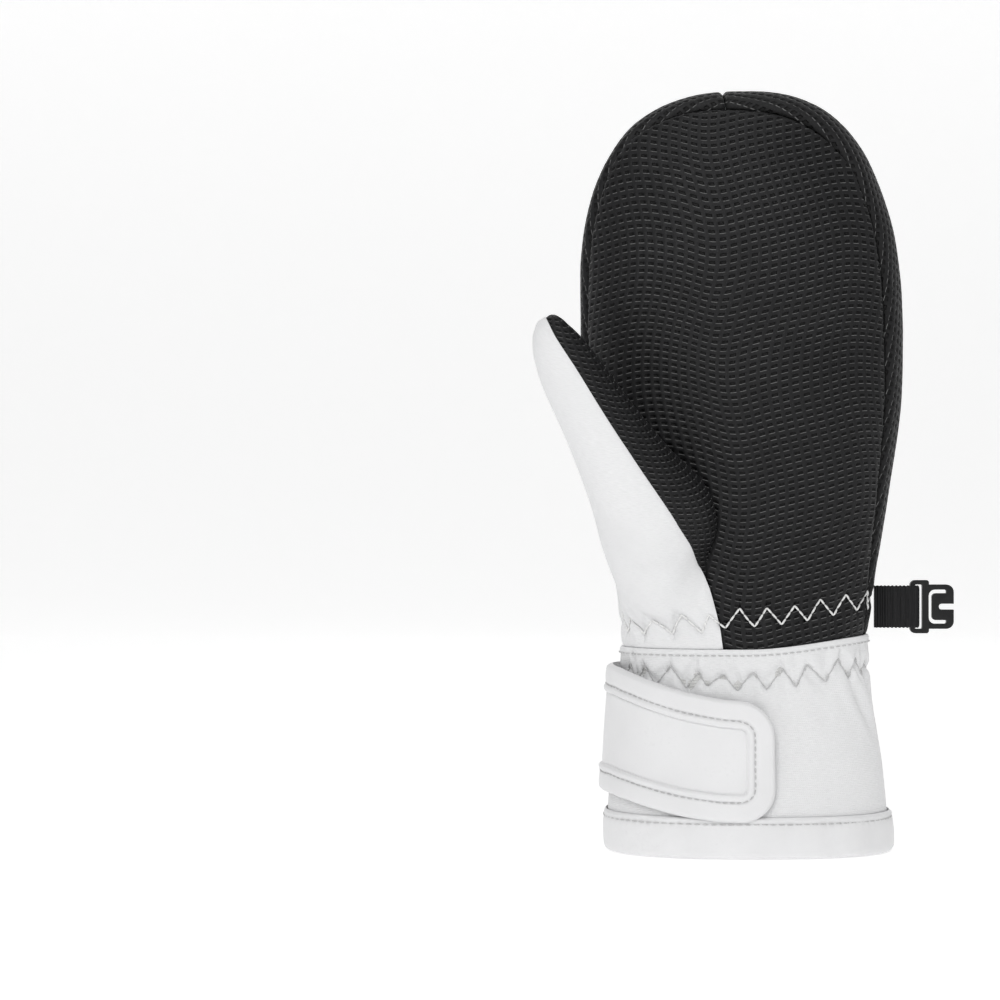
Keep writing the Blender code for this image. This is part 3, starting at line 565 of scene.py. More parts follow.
@dataclass
class Padding:
    """How the wadding, the elastics and wear raise the outside of the mitten."""

    form: MittenForm
    cell: float = 5.0
    pressure: float = 4.0
    frames: int = 20
    cap: float = 5.0
    points: Array | None = None
    lift: Array | None = None
    tree: KDTree | None = None

    def fill(self) -> None:
        """Blows the shell up by cloth simulation and keeps how far each point rose."""
        pad = self.bag()
        start = read_points(pad)
        normals = read_normals(pad)
        group = pad.vertex_groups.new(name="sewn")
        for k, share in enumerate(self.sewn(start / MM - ORIGIN)):
            if share > 0.02:
                group.add([k], float(share), "REPLACE")
        cloth = pad.modifiers.new("padding", "CLOTH")
        for key, value in CLOTH.items():
            setattr(cloth.settings, key, value)
        cloth.settings.uniform_pressure_force = self.pressure
        cloth.settings.vertex_group_mass = group.name
        cloth.settings.effector_weights.gravity = 0.0
        cloth.collision_settings.use_collision = False
        scene = bpy.context.scene
        for step in range(1, self.frames + 1):
            scene.frame_set(step)
        apply(pad, cloth)
        moved = (read_points(pad) - start) / MM
        scene.frame_set(1)
        size = np.linalg.norm(moved, axis=1, keepdims=True)
        moved = moved * np.minimum(1.0, self.cap / np.maximum(size, 1e-6))
        lift = (moved * normals).sum(1)
        self.points = start / MM - ORIGIN
        self.lift = np.clip(0.5 * (lift - np.median(lift)), -0.35, 0.9)
        LOG.info("padding: %d points, rise %.2f to %.2f mm", len(lift), lift.min(), lift.max())
        bpy.data.objects.remove(pad)

    def bag(self) -> Piece:
        """A closed bag in the shape of hand and thumb, remeshed for the simulation."""
        form = self.form
        rows = np.concatenate((np.linspace(-1, 0, 24), np.linspace(0, 1, 20)[1:]))
        across = np.linspace(-1, 1, 33)
        grids = []
        for side in (-1.0, 1.0):
            points = form.hand(across[:, None], rows[None, :], side)
            grids.append(points - 0.02 * points * np.array([1.0, 1.0, 0.0]))
        bm = bmesh.new()
        for grid in grids:
            verts = [[bm.verts.new(to_scene(p)) for p in column] for column in grid]
            for i in range(len(verts) - 1):
                for j in range(len(rows) - 1):
                    bm.faces.new((verts[i][j], verts[i + 1][j], verts[i + 1][j + 1], verts[i][j + 1]))
        bmesh.ops.remove_doubles(bm, verts=bm.verts, dist=1e-5)
        bmesh.ops.holes_fill(bm, edges=[e for e in bm.edges if e.is_boundary], sides=0)
        bmesh.ops.recalc_face_normals(bm, faces=bm.faces)
        stations = np.linspace(-0.4, 5.98, 30)
        turns = np.linspace(0, 2 * math.pi, 25)[:-1]
        sleeve = form.thumb_point(stations[:, None], turns[None, :])
        rings = [[bm.verts.new(to_scene(p)) for p in ring] for ring in sleeve]
        for a, b in zip(rings, rings[1:]):
            for k in range(len(a)):
                n = (k + 1) % len(a)
                bm.faces.new((a[k], a[n], b[n], b[k]))
        bm.faces.new(rings[0])
        bm.faces.new(rings[-1])
        bmesh.ops.recalc_face_normals(bm, faces=bm.faces)
        mesh = bpy.data.meshes.new("padding_bag")
        bm.to_mesh(mesh)
        bm.free()
        pad = bpy.data.objects.new("padding_bag", mesh)
        bpy.context.scene.collection.objects.link(pad)
        remesh = pad.modifiers.new("remesh", "REMESH")
        remesh.mode = "VOXEL"
        remesh.voxel_size = self.cell * MM
        apply(pad, remesh)
        return pad

    def sewn(self, points: Array) -> Array:
        """How firmly seams, elastic and wrist hold each point of the bag, 0 to 1."""
        x, y, z = points.T
        low = 1 - smooth(z, 84.0, 96.0)
        seam = np.abs(x - np.interp(z, SEAM_HEIGHTS, SEAM_ACROSS))
        grip = np.where((z < 188) & (y < -18), bell(seam, 3.5), 0.0)
        centre, width = self.form.station(z)[:2]
        rise = np.maximum(z - self.form.dome_foot, 0.0) / (self.form.tip - self.form.dome_foot)
        reach = np.hypot((x - centre) / width, rise)
        rim = np.where(y < 4, bell(reach - 0.9, 0.045), 0.0)
        return np.clip(np.maximum.reduce([low, grip, rim]), 0.0, 1.0)

    def swell(self, points: Array) -> Array:
        """How far the filling raises points, from the nearest points of the simulated bag."""
        flat = points.reshape(-1, 3)
        if self.points is None:
            return np.zeros(points.shape[:-1])
        if self.tree is None:
            self.tree = KDTree(len(self.points))
            for k, point in enumerate(self.points):
                self.tree.insert(point, k)
            self.tree.balance()
        out = np.zeros(len(flat))
        for row, point in enumerate(flat):
            found = self.tree.find_n(point, 16)
            weights = [math.exp(-((hit[2] / (1.7 * self.cell)) ** 2)) + 1e-9 for hit in found]
            out[row] = sum(w * self.lift[hit[1]] for w, hit in zip(weights, found)) / sum(weights)
        return out.reshape(points.shape[:-1])

    def relief(self, points: Array) -> Array:
        """How far the outside stands off the plain form, without seams.

        Args:
            points: Points on the form, shaped (..., 3).

        Returns:
            Millimetres, outwards.
        """
        angle = self.form.ring_angle(points)
        z = points[..., 2]
        upper = UPPER_ROW.gathers(angle, z) * (1 - smooth(z, 100, 116)) * smooth(z, 70, 76)
        lower = LOWER_ROW.gathers(angle, z) * (1 - smooth(z, 71, 76))
        out = upper + lower
        cuff = (1 - smooth(z, 50, 60)) * smooth(z, 12, 24)
        out = out + 0.35 * wobble(points, 46.0, 5) * smooth(z, 92, 110)
        out = out + 0.45 * wobble(points * np.array([1, 1, 0.5]), 30.0, 9) * cuff
        return out + self.cuff_folds(points)

    def cuff_folds(self, points: Array) -> Array:
        """Long soft folds that fall from the lower elastic over the gauntlet."""
        out = np.zeros(points.shape[:-1])
        folds = (
            ((36.0, -22.0, 65.0), (46.0, -12.0, 40.0), 1.3, 2.6),
            ((22.0, -28.0, 58.0), (30.0, -30.0, 44.0), 0.5, 3.0),
            ((-6.0, -29.0, 58.0), (-10.0, -31.0, 50.0), 0.4, 2.6),
            ((-30.0, -24.0, 96.0), (-44.0, -16.0, 84.0), 0.7, 3.0),
            ((-20.0, -30.0, 108.0), (-26.0, -28.0, 86.0), 0.5, 3.6),
            ((12.0, -28.0, 104.0), (10.0, -28.0, 88.0), 0.4, 3.0),
            ((30.0, 22.0, 60.0), (36.0, 26.0, 34.0), 1.0, 3.0),
            ((-10.0, 27.0, 58.0), (-14.0, 30.0, 30.0), 0.8, 3.4),
            ((10.0, 27.0, 100.0), (6.0, 26.0, 88.0), 0.6, 3.0),
        )
        for start, end, depth, width in folds:
            a, b = np.array(start), np.array(end)
            along = b - a
            t = np.clip(((points - a) @ along) / (along @ along), 0, 1)
            gap = np.linalg.norm(points - a - t[..., None] * along, axis=-1)
            fade = np.sin(np.clip(t * 0.9 + 0.1, 0, 1) * math.pi) ** 0.7
            out = out - depth * fade * bell(gap, width)
            out = out + 0.5 * depth * fade * bell(gap - 2 * width, width)
        return out


# ---- objects


def deselect() -> None:
    """Leaves nothing selected."""
    for each in list(bpy.context.selected_objects):
        each.select_set(False)


def choose(*objects: Piece) -> None:
    """Selects objects and makes the first one active."""
    for each in objects:
        each.select_set(True)
    bpy.context.view_layer.objects.active = objects[0]


def apply(piece: Piece, modifier: bpy.types.Modifier) -> None:
    """Makes a modifier's result the piece's own mesh, and leaves the piece selected."""
    deselect()
    choose(piece)
    bpy.ops.object.modifier_apply(modifier=modifier.name)


def select_edges(piece: Piece, test: Callable[[Vector], bool]) -> None:
    """Enters edit mode and selects the edges whose ends both pass a test."""
    bpy.ops.object.mode_set(mode="EDIT")
    bpy.ops.mesh.select_mode(type="EDGE")
    bpy.ops.mesh.select_all(action="DESELECT")
    mesh = bmesh.from_edit_mesh(piece.data)
    for edge in mesh.edges:
        edge.select_set(all(test(v.co) for v in edge.verts))
    bmesh.update_edit_mesh(piece.data)


def read_points(piece: Piece) -> Array:
    """The places of a mesh's points."""
    out = np.empty(len(piece.data.vertices) * 3)
    piece.data.vertices.foreach_get("co", out)
    return out.reshape(-1, 3)


def read_normals(piece: Piece) -> Array:
    """The outward directions at a mesh's points."""
    out = np.empty(len(piece.data.vertices) * 3)
    piece.data.vertices.foreach_get("normal", out)
    return out.reshape(-1, 3)


def make_object(
    name: str,
    points: Array,
    faces: list,
    finish: bpy.types.Material,
    maps: dict[str, Array] | None = None,
    shade: Array | None = None,
    sharp: float = 50.0,
    closed: bool = True,
) -> Piece:
    """One mesh object from points in the scene's frame.

    Args:
        name: The piece's name.
        points: Its points, in metres.
        faces: Its faces, as runs of point numbers.
        finish: Its material.
        maps: UV maps, as one pair for each point.
        shade: How deep each point lies in a seam or pit, 0 to 1; the material darkens the colour by it as painted
            shade.
        sharp: Edges over this angle stay sharp, in degrees.
        closed: Whether the mesh closes on itself, so that its faces can be turned outwards.

    Returns:
        The new object.
    """
    mesh = bpy.data.meshes.new(name)
    mesh.from_pydata(np.asarray(points).tolist(), [], faces)
    mesh.update()
    loops = np.empty(len(mesh.loops), np.int32)
    for key, pairs in (maps or {}).items():
        mesh.loops.foreach_get("vertex_index", loops)
        layer = mesh.uv_layers.new(name=key)
        layer.uv.foreach_set("vector", np.asarray(pairs, np.float32)[loops].ravel())
    if shade is not None:
        # Painted shade: the material darkens the colour by this attribute.
        layer = mesh.attributes.new("seam", "FLOAT", "POINT")
        layer.data.foreach_set("value", np.asarray(shade, np.float32).ravel())
    if closed:
        bm = bmesh.new()
        bm.from_mesh(mesh)
        bmesh.ops.recalc_face_normals(bm, faces=bm.faces)
        bm.to_mesh(mesh)
        bm.free()
    mesh.shade_smooth()
    mesh.set_sharp_from_angle(angle=math.radians(sharp))
    mesh.materials.append(finish)
    made = bpy.data.objects.new(name, mesh)
    bpy.context.scene.collection.objects.link(made)
    LOG.info("%s: %d faces", name, len(mesh.polygons))
    return made


def grid_faces(columns: int, rows: int, first: int = 0, wrap: bool = False) -> list:
    """Quads of a grid of points, numbered column by column."""
    i = np.arange(columns if wrap else columns - 1)[:, None]
    j = np.arange(rows - 1)[None, :]
    n = (i + 1) % columns
    corners = (i * rows + j, n * rows + j, n * rows + j + 1, i * rows + j + 1)
    stacked = np.stack([np.broadcast_to(c, (len(i), rows - 1)) for c in corners], axis=-1)
    return (stacked.reshape(-1, 4) + first).tolist()


def quilt(outer: Array, inner: Array) -> tuple[Array, list]:
    """A closed skin: a fine outer grid, a coarse inner one, and a rim that joins them.

    Args:
        outer: Points shaped (columns, rows, 3).
        inner: Points of the coarse grid, one for every COARSE columns and rows of the outer one.

    Returns:
        All points, and the faces.
    """
    columns, rows = outer.shape[:2]
    coarse_columns, coarse_rows = inner.shape[:2]
    first = columns * rows
    faces = grid_faces(columns, rows)
    faces += [face[::-1] for face in grid_faces(coarse_columns, coarse_rows, first)]
    runs = []
    for row, coarse_row in ((0, 0), (rows - 1, coarse_rows - 1)):
        for k in range(coarse_columns - 1):
            fine = [(k * COARSE + m) * rows + row for m in range(COARSE + 1)]
            runs.append(fine + [first + (k + m) * coarse_rows + coarse_row for m in (1, 0)])
    for column, coarse_column in ((0, 0), (columns - 1, coarse_columns - 1)):
        for k in range(coarse_rows - 1):
            fine = [column * rows + k * COARSE + m for m in range(COARSE + 1)]
            runs.append(fine + [first + coarse_column * coarse_rows + k + m for m in (1, 0)])
    return np.concatenate((outer.reshape(-1, 3), inner.reshape(-1, 3))), faces + runs


def runs_from_edges(grid: Array) -> tuple[Array, Array, Array, Array]:
    """For each point of a grid, its distance along the grid from the first and last column and row."""
    across = np.linalg.norm(np.diff(grid, axis=0), axis=-1)
    up = np.linalg.norm(np.diff(grid, axis=1), axis=-1)
    left = np.concatenate((np.zeros((1, grid.shape[1])), np.cumsum(across, axis=0)))
    foot = np.concatenate((np.zeros((grid.shape[0], 1)), np.cumsum(up, axis=1)), axis=1)
    return left, left[-1:] - left, foot, foot[:, -1:] - foot


def tuck(run: Array, depth: float, width: float) -> Array:
    """How far fabric drops into a seam, by its distance from it."""
    t = np.clip(1 - run / width, 0.0, 1.0)
    return -depth * (t**2.2)


def pits(pattern: Array, depth: float) -> Array:
    """How deep the embossed pits lie, by pattern coordinates that count one to a pit."""
    away = np.abs(pattern - np.floor(pattern) - 0.5)
    hollow = (1 - smooth(away[..., 0], 0.14, 0.36)) * (1 - smooth(away[..., 1], 0.10, 0.34))
    return -depth * hollow


# ---- finishes


class Grain(Enum):
    """The kinds of surface detail."""

    EMBOSSED = "embossed"
    WOVEN = "woven"
    COATED = "coated"
    RIBBED = "ribbed"
    FLEECE = "fleece"
    MOULDED = "moulded"
    TWISTED = "twisted"


@dataclass(frozen=True)
class Finish:
    """One finish of the mitten."""

    name: str
    grain: Grain
    colour: tuple[float, float, float]
    # deep: colour of the painted shade in hollows, seams and stitch grooves, and of the darker random patches
    deep: tuple[float, float, float]
    roughness: tuple[float, float]
    cell: float
    bump: float
    sheen: float = 0.0
    specular: float = 0.5
    # colour of the painted highlight on the lower lip of each embossed pit
    lip_highlight: tuple[float, float, float] = (0.17, 0.17, 0.17)

    def material(self) -> bpy.types.Material:
        """Builds the procedural material."""
        made = bpy.data.materials.new(self.name)
        made.use_nodes = True
        build = NodeSheet(made)
        shader = made.node_tree.nodes["Principled BSDF"]
        shader.inputs["Specular IOR Level"].default_value = self.specular
        shader.inputs["Sheen Weight"].default_value = self.sheen
        shader.inputs["Sheen Roughness"].default_value = 0.5
        # hollow darkens the colour in the low parts of the surface detail, the embossed pits most, as painted
        # shade.
        height, hollow = self.pattern(build)
        # The 'seam' attribute darkens the colour as painted shade in seams and stitch grooves.
        seam = build.node("ShaderNodeAttribute", attribute_name="seam").outputs["Fac"]
        patches = build.noise(build.place(), 34.0, 3.0)
        tint = build.spread(patches, 0.3, 0.75, 0.0, 0.22)
        shadow = build.math("MAXIMUM", hollow, build.math("MULTIPLY", seam, 0.85))
        mixed = build.math("MAXIMUM", shadow, tint)
        colour = build.blend(mixed, self.colour, self.deep)
        if self.grain is Grain.EMBOSSED:
            # Painted highlight: the lower lip of each pit is lightened, as if lit from above.
            lip_highlight = build.spread(hollow, -0.5, 0.0, 1.0, 0.0)
            colour = build.blend(lip_highlight, None, self.lip_highlight, colour)
        build.link(colour, shader.inputs["Base Color"])
        fine = build.noise(build.place(), 900.0, 2.0)
        gloss = build.spread(fine, 0.25, 0.8, *self.roughness)
        build.link(gloss, shader.inputs["Roughness"])
        bump = build.node("ShaderNodeBump")
        bump.inputs["Strength"].default_value = self.bump
        bump.inputs["Distance"].default_value = 0.00035
        build.link(height, bump.inputs["Height"])
        build.link(bump.outputs["Normal"], shader.inputs["Normal"])
        return made

    def pattern(self, build: "NodeSheet") -> tuple:
        """(height, hollow) of this finish's surface detail, as sockets. Hollow darkens the colour in the detail's
        low parts as painted shade; below zero it marks the painted highlight on the embossed pits' lips.
        """
        place = build.place()
        if self.grain is Grain.EMBOSSED:
            pair = build.split(build.uv("emboss"))
            away = [build.math("ABSOLUTE", build.math("SUBTRACT", build.math("FRACT", c), 0.5)) for c in pair[:2]]
            wide = build.spread(away[0], 0.21, 0.30, 1.0, 0.0, True)
            tall = build.spread(away[1], 0.14, 0.23, 1.0, 0.0, True)
            pit = build.math("MULTIPLY", wide, tall)
            down = build.math("SUBTRACT", 0.5, build.math("FRACT", pair[1]))
            over = build.spread(down, 0.19, 0.25, 0.0, 1.0, True)
            under = build.spread(down, 0.27, 0.34, 1.0, 0.0, True)
            ends = build.spread(away[0], 0.22, 0.36, 1.0, 0.0)
            lip = build.math("MULTIPLY", build.math("MULTIPLY", over, under), ends)
            grain = build.noise(place, self.cell, 2.0)
            crackle = build.cells(place, self.cell * 1.6)
            fine = build.math("MULTIPLY", build.math("ADD", grain, crackle), 0.2)
            relief = build.math("ADD", build.math("SUBTRACT", fine, pit), build.math("MULTIPLY", lip, 0.35))
            # Painted highlight on each pit's lower lip, handed on below zero in the hollow value.
            lip_highlight = build.math("MULTIPLY", lip, build.noise(place, 160.0, 2.0))
            return relief, build.math("SUBTRACT", build.math("MULTIPLY", pit, 0.95), lip_highlight)
        if self.grain is Grain.WOVEN:
            weave = build.uv("weave")
            rows = build.wave(weave, "Y", 1.0 / self.cell, 0.6)
            picks = build.wave(weave, "X", 0.8 / self.cell, 1.0)
            slub = build.noise(build.stretch(weave, (0.35, 3.2, 1.0)), 1.4, 3.0)
            cloth = build.math("ADD", build.math("MULTIPLY", rows, 0.6), build.math("MULTIPLY", picks, 0.25))
            full = build.math("ADD", cloth, build.math("MULTIPLY", slub, 0.9))
            return full, build.spread(slub, 0.35, 0.75, 0.22, 0.0)
        if self.grain is Grain.RIBBED:
            rows = build.wave(build.uv("weave"), "Y", 1.0 / self.cell, 0.4)
            yarn = build.noise(place, 2600.0, 2.0)
            height = build.math("ADD", rows, build.math("MULTIPLY", yarn, 0.6))
            return height, build.spread(yarn, 0.4, 0.7, 0.3, 0.0)
        if self.grain is Grain.FLEECE:
            tuft = build.noise(place, self.cell, 5.0)
            curl = build.cells(place, self.cell * 0.8)
            return build.math("ADD", tuft, curl), build.spread(tuft, 0.3, 0.6, 0.6, 0.0)
        if self.grain is Grain.TWISTED:
            twist = build.wave(place, "DIAGONAL", self.cell, 1.5)
            return twist, build.spread(twist, 0.0, 0.4, 0.35, 0.0)
        grain = build.noise(place, self.cell, 3.0)
        pores = build.cells(place, self.cell * 2.2)
        height = build.math("ADD", grain, build.math("MULTIPLY", pores, 0.5))
        return height, build.spread(grain, 0.2, 0.5, 0.18, 0.0)


@dataclass
class NodeSheet:
    """Short ways to add shader nodes to one material."""

    material: bpy.types.Material
    placed: Socket | None = None

    def node(self, kind: str, **settings: object) -> bpy.types.Node:
        """Adds a node and sets its properties."""
        made = self.material.node_tree.nodes.new(kind)
        for key, value in settings.items():
            setattr(made, key, value)
        return made

    def link(self, start: Socket, end: Socket) -> None:
        """Joins two sockets."""
        self.material.node_tree.links.new(start, end)

    def place(self) -> Socket:
        """Object coordinates."""
        if self.placed is None:
            self.placed = self.node("ShaderNodeTexCoord").outputs["Object"]
        return self.placed

    def uv(self, name: str) -> Socket:
        """One of the piece's own UV maps."""
        return self.node("ShaderNodeUVMap", uv_map=name).outputs["UV"]

    def split(self, vector: Socket) -> list:
        """The parts of a vector."""
        made = self.node("ShaderNodeSeparateXYZ")
        self.link(vector, made.inputs[0])
        return list(made.outputs)

    def stretch(self, vector: Socket, scale: tuple) -> Socket:
        """A pattern's coordinates, stretched."""
        made = self.node("ShaderNodeMapping")
        made.inputs["Scale"].default_value = scale
        self.link(vector, made.inputs["Vector"])
        return made.outputs["Vector"]

    def math(self, operation: str, first: object, second: object = None) -> Socket:
        """A sum on one or two values, which are sockets or numbers."""
        made = self.node("ShaderNodeMath", operation=operation)
        for socket, value in zip(made.inputs, (first, second)):
            if isinstance(value, Socket):
                self.link(value, socket)
            elif value is not None:
                socket.default_value = value
        return made.outputs[0]

    def spread(
        self, value: Socket, low: float, high: float, start: float, end: float, soft: bool = False
    ) -> Socket:
        """A value's range, mapped onto another range."""
        made = self.node("ShaderNodeMapRange")
        made.interpolation_type = "SMOOTHSTEP" if soft else "LINEAR"
        for key, number in (("From Min", low), ("From Max", high), ("To Min", start), ("To Max", end)):
            made.inputs[key].default_value = number
        self.link(value, made.inputs["Value"])
        return made.outputs["Result"]

    def noise(self, vector: Socket, scale: float, detail: float) -> Socket:
        """Soft random unevenness."""
        made = self.node("ShaderNodeTexNoise")
        made.inputs["Scale"].default_value = scale
        made.inputs["Detail"].default_value = detail
        self.link(vector, made.inputs["Vector"])
        return made.outputs["Fac"]

    def cells(self, vector: Socket, scale: float) -> Socket:
        """Small rounded cells."""
        made = self.node("ShaderNodeTexVoronoi")
        made.inputs["Scale"].default_value = scale
        self.link(vector, made.inputs["Vector"])
        return made.outputs["Distance"]

    def wave(self, vector: Socket, axis: str, scale: float, twist: float) -> Socket:
        """Parallel ridges."""
        made = self.node("ShaderNodeTexWave", wave_type="BANDS", bands_direction=axis)
        made.inputs["Scale"].default_value = scale * 0.314
        made.inputs["Distortion"].default_value = twist
        made.inputs["Detail Scale"].default_value = 1.5
        self.link(vector, made.inputs["Vector"])
        return made.outputs["Fac"]

    def blend(self, share: Socket, first: tuple | None, second: tuple, start: Socket | None = None) -> Socket:
        """A mix of two colours, the first of which may be a socket."""
        made = self.node("ShaderNodeMix", data_type="RGBA")
        self.link(share, made.inputs[0])
        if start is None:
            made.inputs[6].default_value = (*first, 1.0)
        else:
            self.link(start, made.inputs[6])
        made.inputs[7].default_value = (*second, 1.0)
        return made.outputs[2]


def grey(level: float, blue: float = 0.0) -> tuple[float, float, float]:
    """A grey, with a little more blue if asked."""
    return level, level, level + blue


FINISHES = {
    f.name: f
    for f in (
        Finish(
            "black_grip", Grain.EMBOSSED, grey(0.0115, 0.0007), grey(0.0006),
            (0.38, 0.6), 1500.0, 1.0, specular=0.19,
        ),
        Finish(
            "white_softshell", Grain.WOVEN, (0.84, 0.842, 0.848), (0.42, 0.422, 0.43),
            (0.62, 0.82), 0.62, 0.34, sheen=0.12,
        ),
        Finish(
            "white_coated_trim", Grain.COATED, grey(0.80, 0.007), grey(0.55, 0.005),
            (0.38, 0.52), 700.0, 0.12, specular=0.4,
        ),
        Finish(
            "white_thread", Grain.TWISTED, grey(0.86, -0.01), grey(0.45), (0.5, 0.7), 900.0, 0.5, sheen=0.2,
        ),
        # The white thread painted grey: painted shade for the rows that sit in grooves.
        Finish("shaded_thread", Grain.TWISTED, grey(0.60), grey(0.30), (0.6, 0.8), 900.0, 0.6),
        Finish(
            "black_webbing", Grain.RIBBED, grey(0.011, 0.001), grey(0.002),
            (0.5, 0.7), 0.9, 0.6, specular=0.25,
        ),
        Finish(
            "black_plastic", Grain.MOULDED, grey(0.006, 0.0005), grey(0.003),
            (0.3, 0.45), 1300.0, 0.10, specular=0.3,
        ),
        Finish(
            "grey_fleece", Grain.FLEECE, (0.46, 0.465, 0.48), (0.22, 0.225, 0.235),
            (0.9, 1.0), 1300.0, 0.9, sheen=0.5,
        ),
        Finish(
            "membrane_film", Grain.MOULDED, (0.72, 0.74, 0.76), (0.5, 0.52, 0.55), (0.25, 0.4), 500.0, 0.25,
        ),
        Finish(
            "wadding", Grain.FLEECE, grey(0.8, -0.01), grey(0.62, -0.02), (0.9, 1.0), 900.0, 0.9, sheen=0.4,
        ),
        Finish(
            "elastic", Grain.RIBBED, grey(0.72, -0.01), grey(0.45, -0.01), (0.6, 0.8), 1.1, 0.8, sheen=0.1,
        ),
        Finish("hook_tape", Grain.FLEECE, grey(0.62), grey(0.3), (0.4, 0.6), 1600.0, 1.0),
        Finish("loop_tape", Grain.FLEECE, grey(0.7), grey(0.4), (0.85, 1.0), 1800.0, 1.0, sheen=0.4),
        Finish(
            "blank_label", Grain.WOVEN, grey(0.78, -0.02), grey(0.6, -0.02), (0.5, 0.65), 0.4, 0.2, sheen=0.1,
        ),
    )
}


@dataclass
class Workshop:
    """Finishes that are already mixed, and the form and the padding."""

    form: MittenForm
    padding: Padding
    mixed: dict[str, bpy.types.Material] = field(default_factory=dict)

    def finish(self, name: str) -> bpy.types.Material:
        """The material of a finish, built once."""
        if name not in self.mixed:
            self.mixed[name] = FINISHES[name].material()
        return self.mixed[name]

    def place(self, piece: Piece, slot: str, body: str | tuple, replaced: Sequence[str]) -> Piece:
        """Attaches a piece to what it moves with and hides the CAD nodes that it stands for.

        Args:
            piece: The finished piece.
            slot: The record's material slot. Not used.
            body: A body, or (body, body, start, end) for a piece between two, whose transform is only baked in.
            replaced: CAD nodes that it stands for.

        Returns:
            The piece.
        """
        if isinstance(body, str):
            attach(piece, body)
        else:
            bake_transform(piece)
        if replaced:
            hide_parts(*replaced)
        return piece


THUMB_BLEND = ("hand", "thumb", (-31.0, -18.0, 92.0), (-42.0, -30.0, 128.0))
STRAP_BLEND = ("hand", "strap", (-54.0, 5.0, 40.0), (-54.0, -6.0, 40.0))


# ---- hand and thumb


@dataclass
class ShellPanel:
    """One fabric panel of the shell.

    Attributes:
        name: The piece's name.
        grid: Points of its outside on the plain form, shaped (columns, rows, 3).
        slot: Its material slot.
        tucks: (depth, width) of the drop into the seam at the first and last column and row.
        pattern: Coordinates of the embossed pattern, one to a pit, or None.
        thickness: The fabric's own thickness.
        measure: The distance that gives its outward directions.
        sink: How far the whole panel lies under the form.
    """

    name: str
    grid: Array
    slot: str
    tucks: tuple = ((1.5, 4.5), (1.5, 4.5), (1.2, 4.0), (1.2, 4.0))
    pattern: Array | None = None
    thickness: float = 1.0
    measure: Callable[[Array], Array] | None = None
    sink: Array | float = 0.0
    relief: Callable[[Array], Array] | None = None
    pit_depth: float = 0.42

    def sew(self, shop: Workshop, body: str | tuple, node: str) -> None:
        """Makes the panel and places it for its CAD node."""
        shop.place(self.build(shop), self.slot, body, [node])

    def build(self, shop: Workshop) -> Piece:
        """Makes the panel's mesh."""
        measure = self.measure or shop.form.hand_distance
        normals = unit(shop.form.slope(self.grid, measure))
        runs = runs_from_edges(self.grid)
        seams = sum(tuck(run, *size) for run, size in zip(runs, self.tucks))
        lift = seams - self.sink + (self.relief or shop.padding.relief)(self.grid)
        swell = upsample(shop.padding.swell(self.grid[::COARSE, ::COARSE]))
        lift = lift + swell * (1 - np.clip(-seams, 0, 1))
        shade = np.clip(-seams / 1.6, 0, 1) ** 2
        inner = self.grid + normals * (np.minimum(lift, 0.3) - self.thickness)[..., None]
        if self.pattern is not None:
            fade = np.clip(np.minimum.reduce(runs) / 1.2, 0, 1)
            lift = lift + pits(self.pattern, self.pit_depth) * fade
        outer = self.grid + normals * lift[..., None]
        points, faces = quilt(to_scene(outer), to_scene(inner[::COARSE, ::COARSE]))
        weave = join(runs[0], runs[2])
        maps = {"weave": stack_maps(weave)}
        if self.pattern is not None:
            maps["emboss"] = stack_maps(self.pattern)
        return make_object(self.name, points, faces, shop.finish(self.slot), maps, stack_maps(shade, 1))


def upsample(coarse: Array) -> Array:
    """A coarse grid of values, read between its points."""
    columns, rows = coarse.shape
    fine_columns = np.arange((columns - 1) * COARSE + 1) / COARSE
    fine_rows = np.arange((rows - 1) * COARSE + 1) / COARSE
    i = np.minimum(fine_columns.astype(int), columns - 2)
    j = np.minimum(fine_rows.astype(int), rows - 2)
    u, v = (fine_columns - i)[:, None], (fine_rows - j)[None, :]
    u, v = u * u * (3 - 2 * u), v * v * (3 - 2 * v)
    low = coarse[i][:, j] * (1 - u) + coarse[i + 1][:, j] * u
    high = coarse[i][:, j + 1] * (1 - u) + coarse[i + 1][:, j + 1] * u
    return low * (1 - v) + high * v


def stack_maps(values: Array, width: int = 2) -> Array:
    """Values of a map, `width` to a point, for the outer grid and then for the inner one."""
    return np.concatenate([part.reshape(-1, width) for part in (values, values[::COARSE, ::COARSE])])


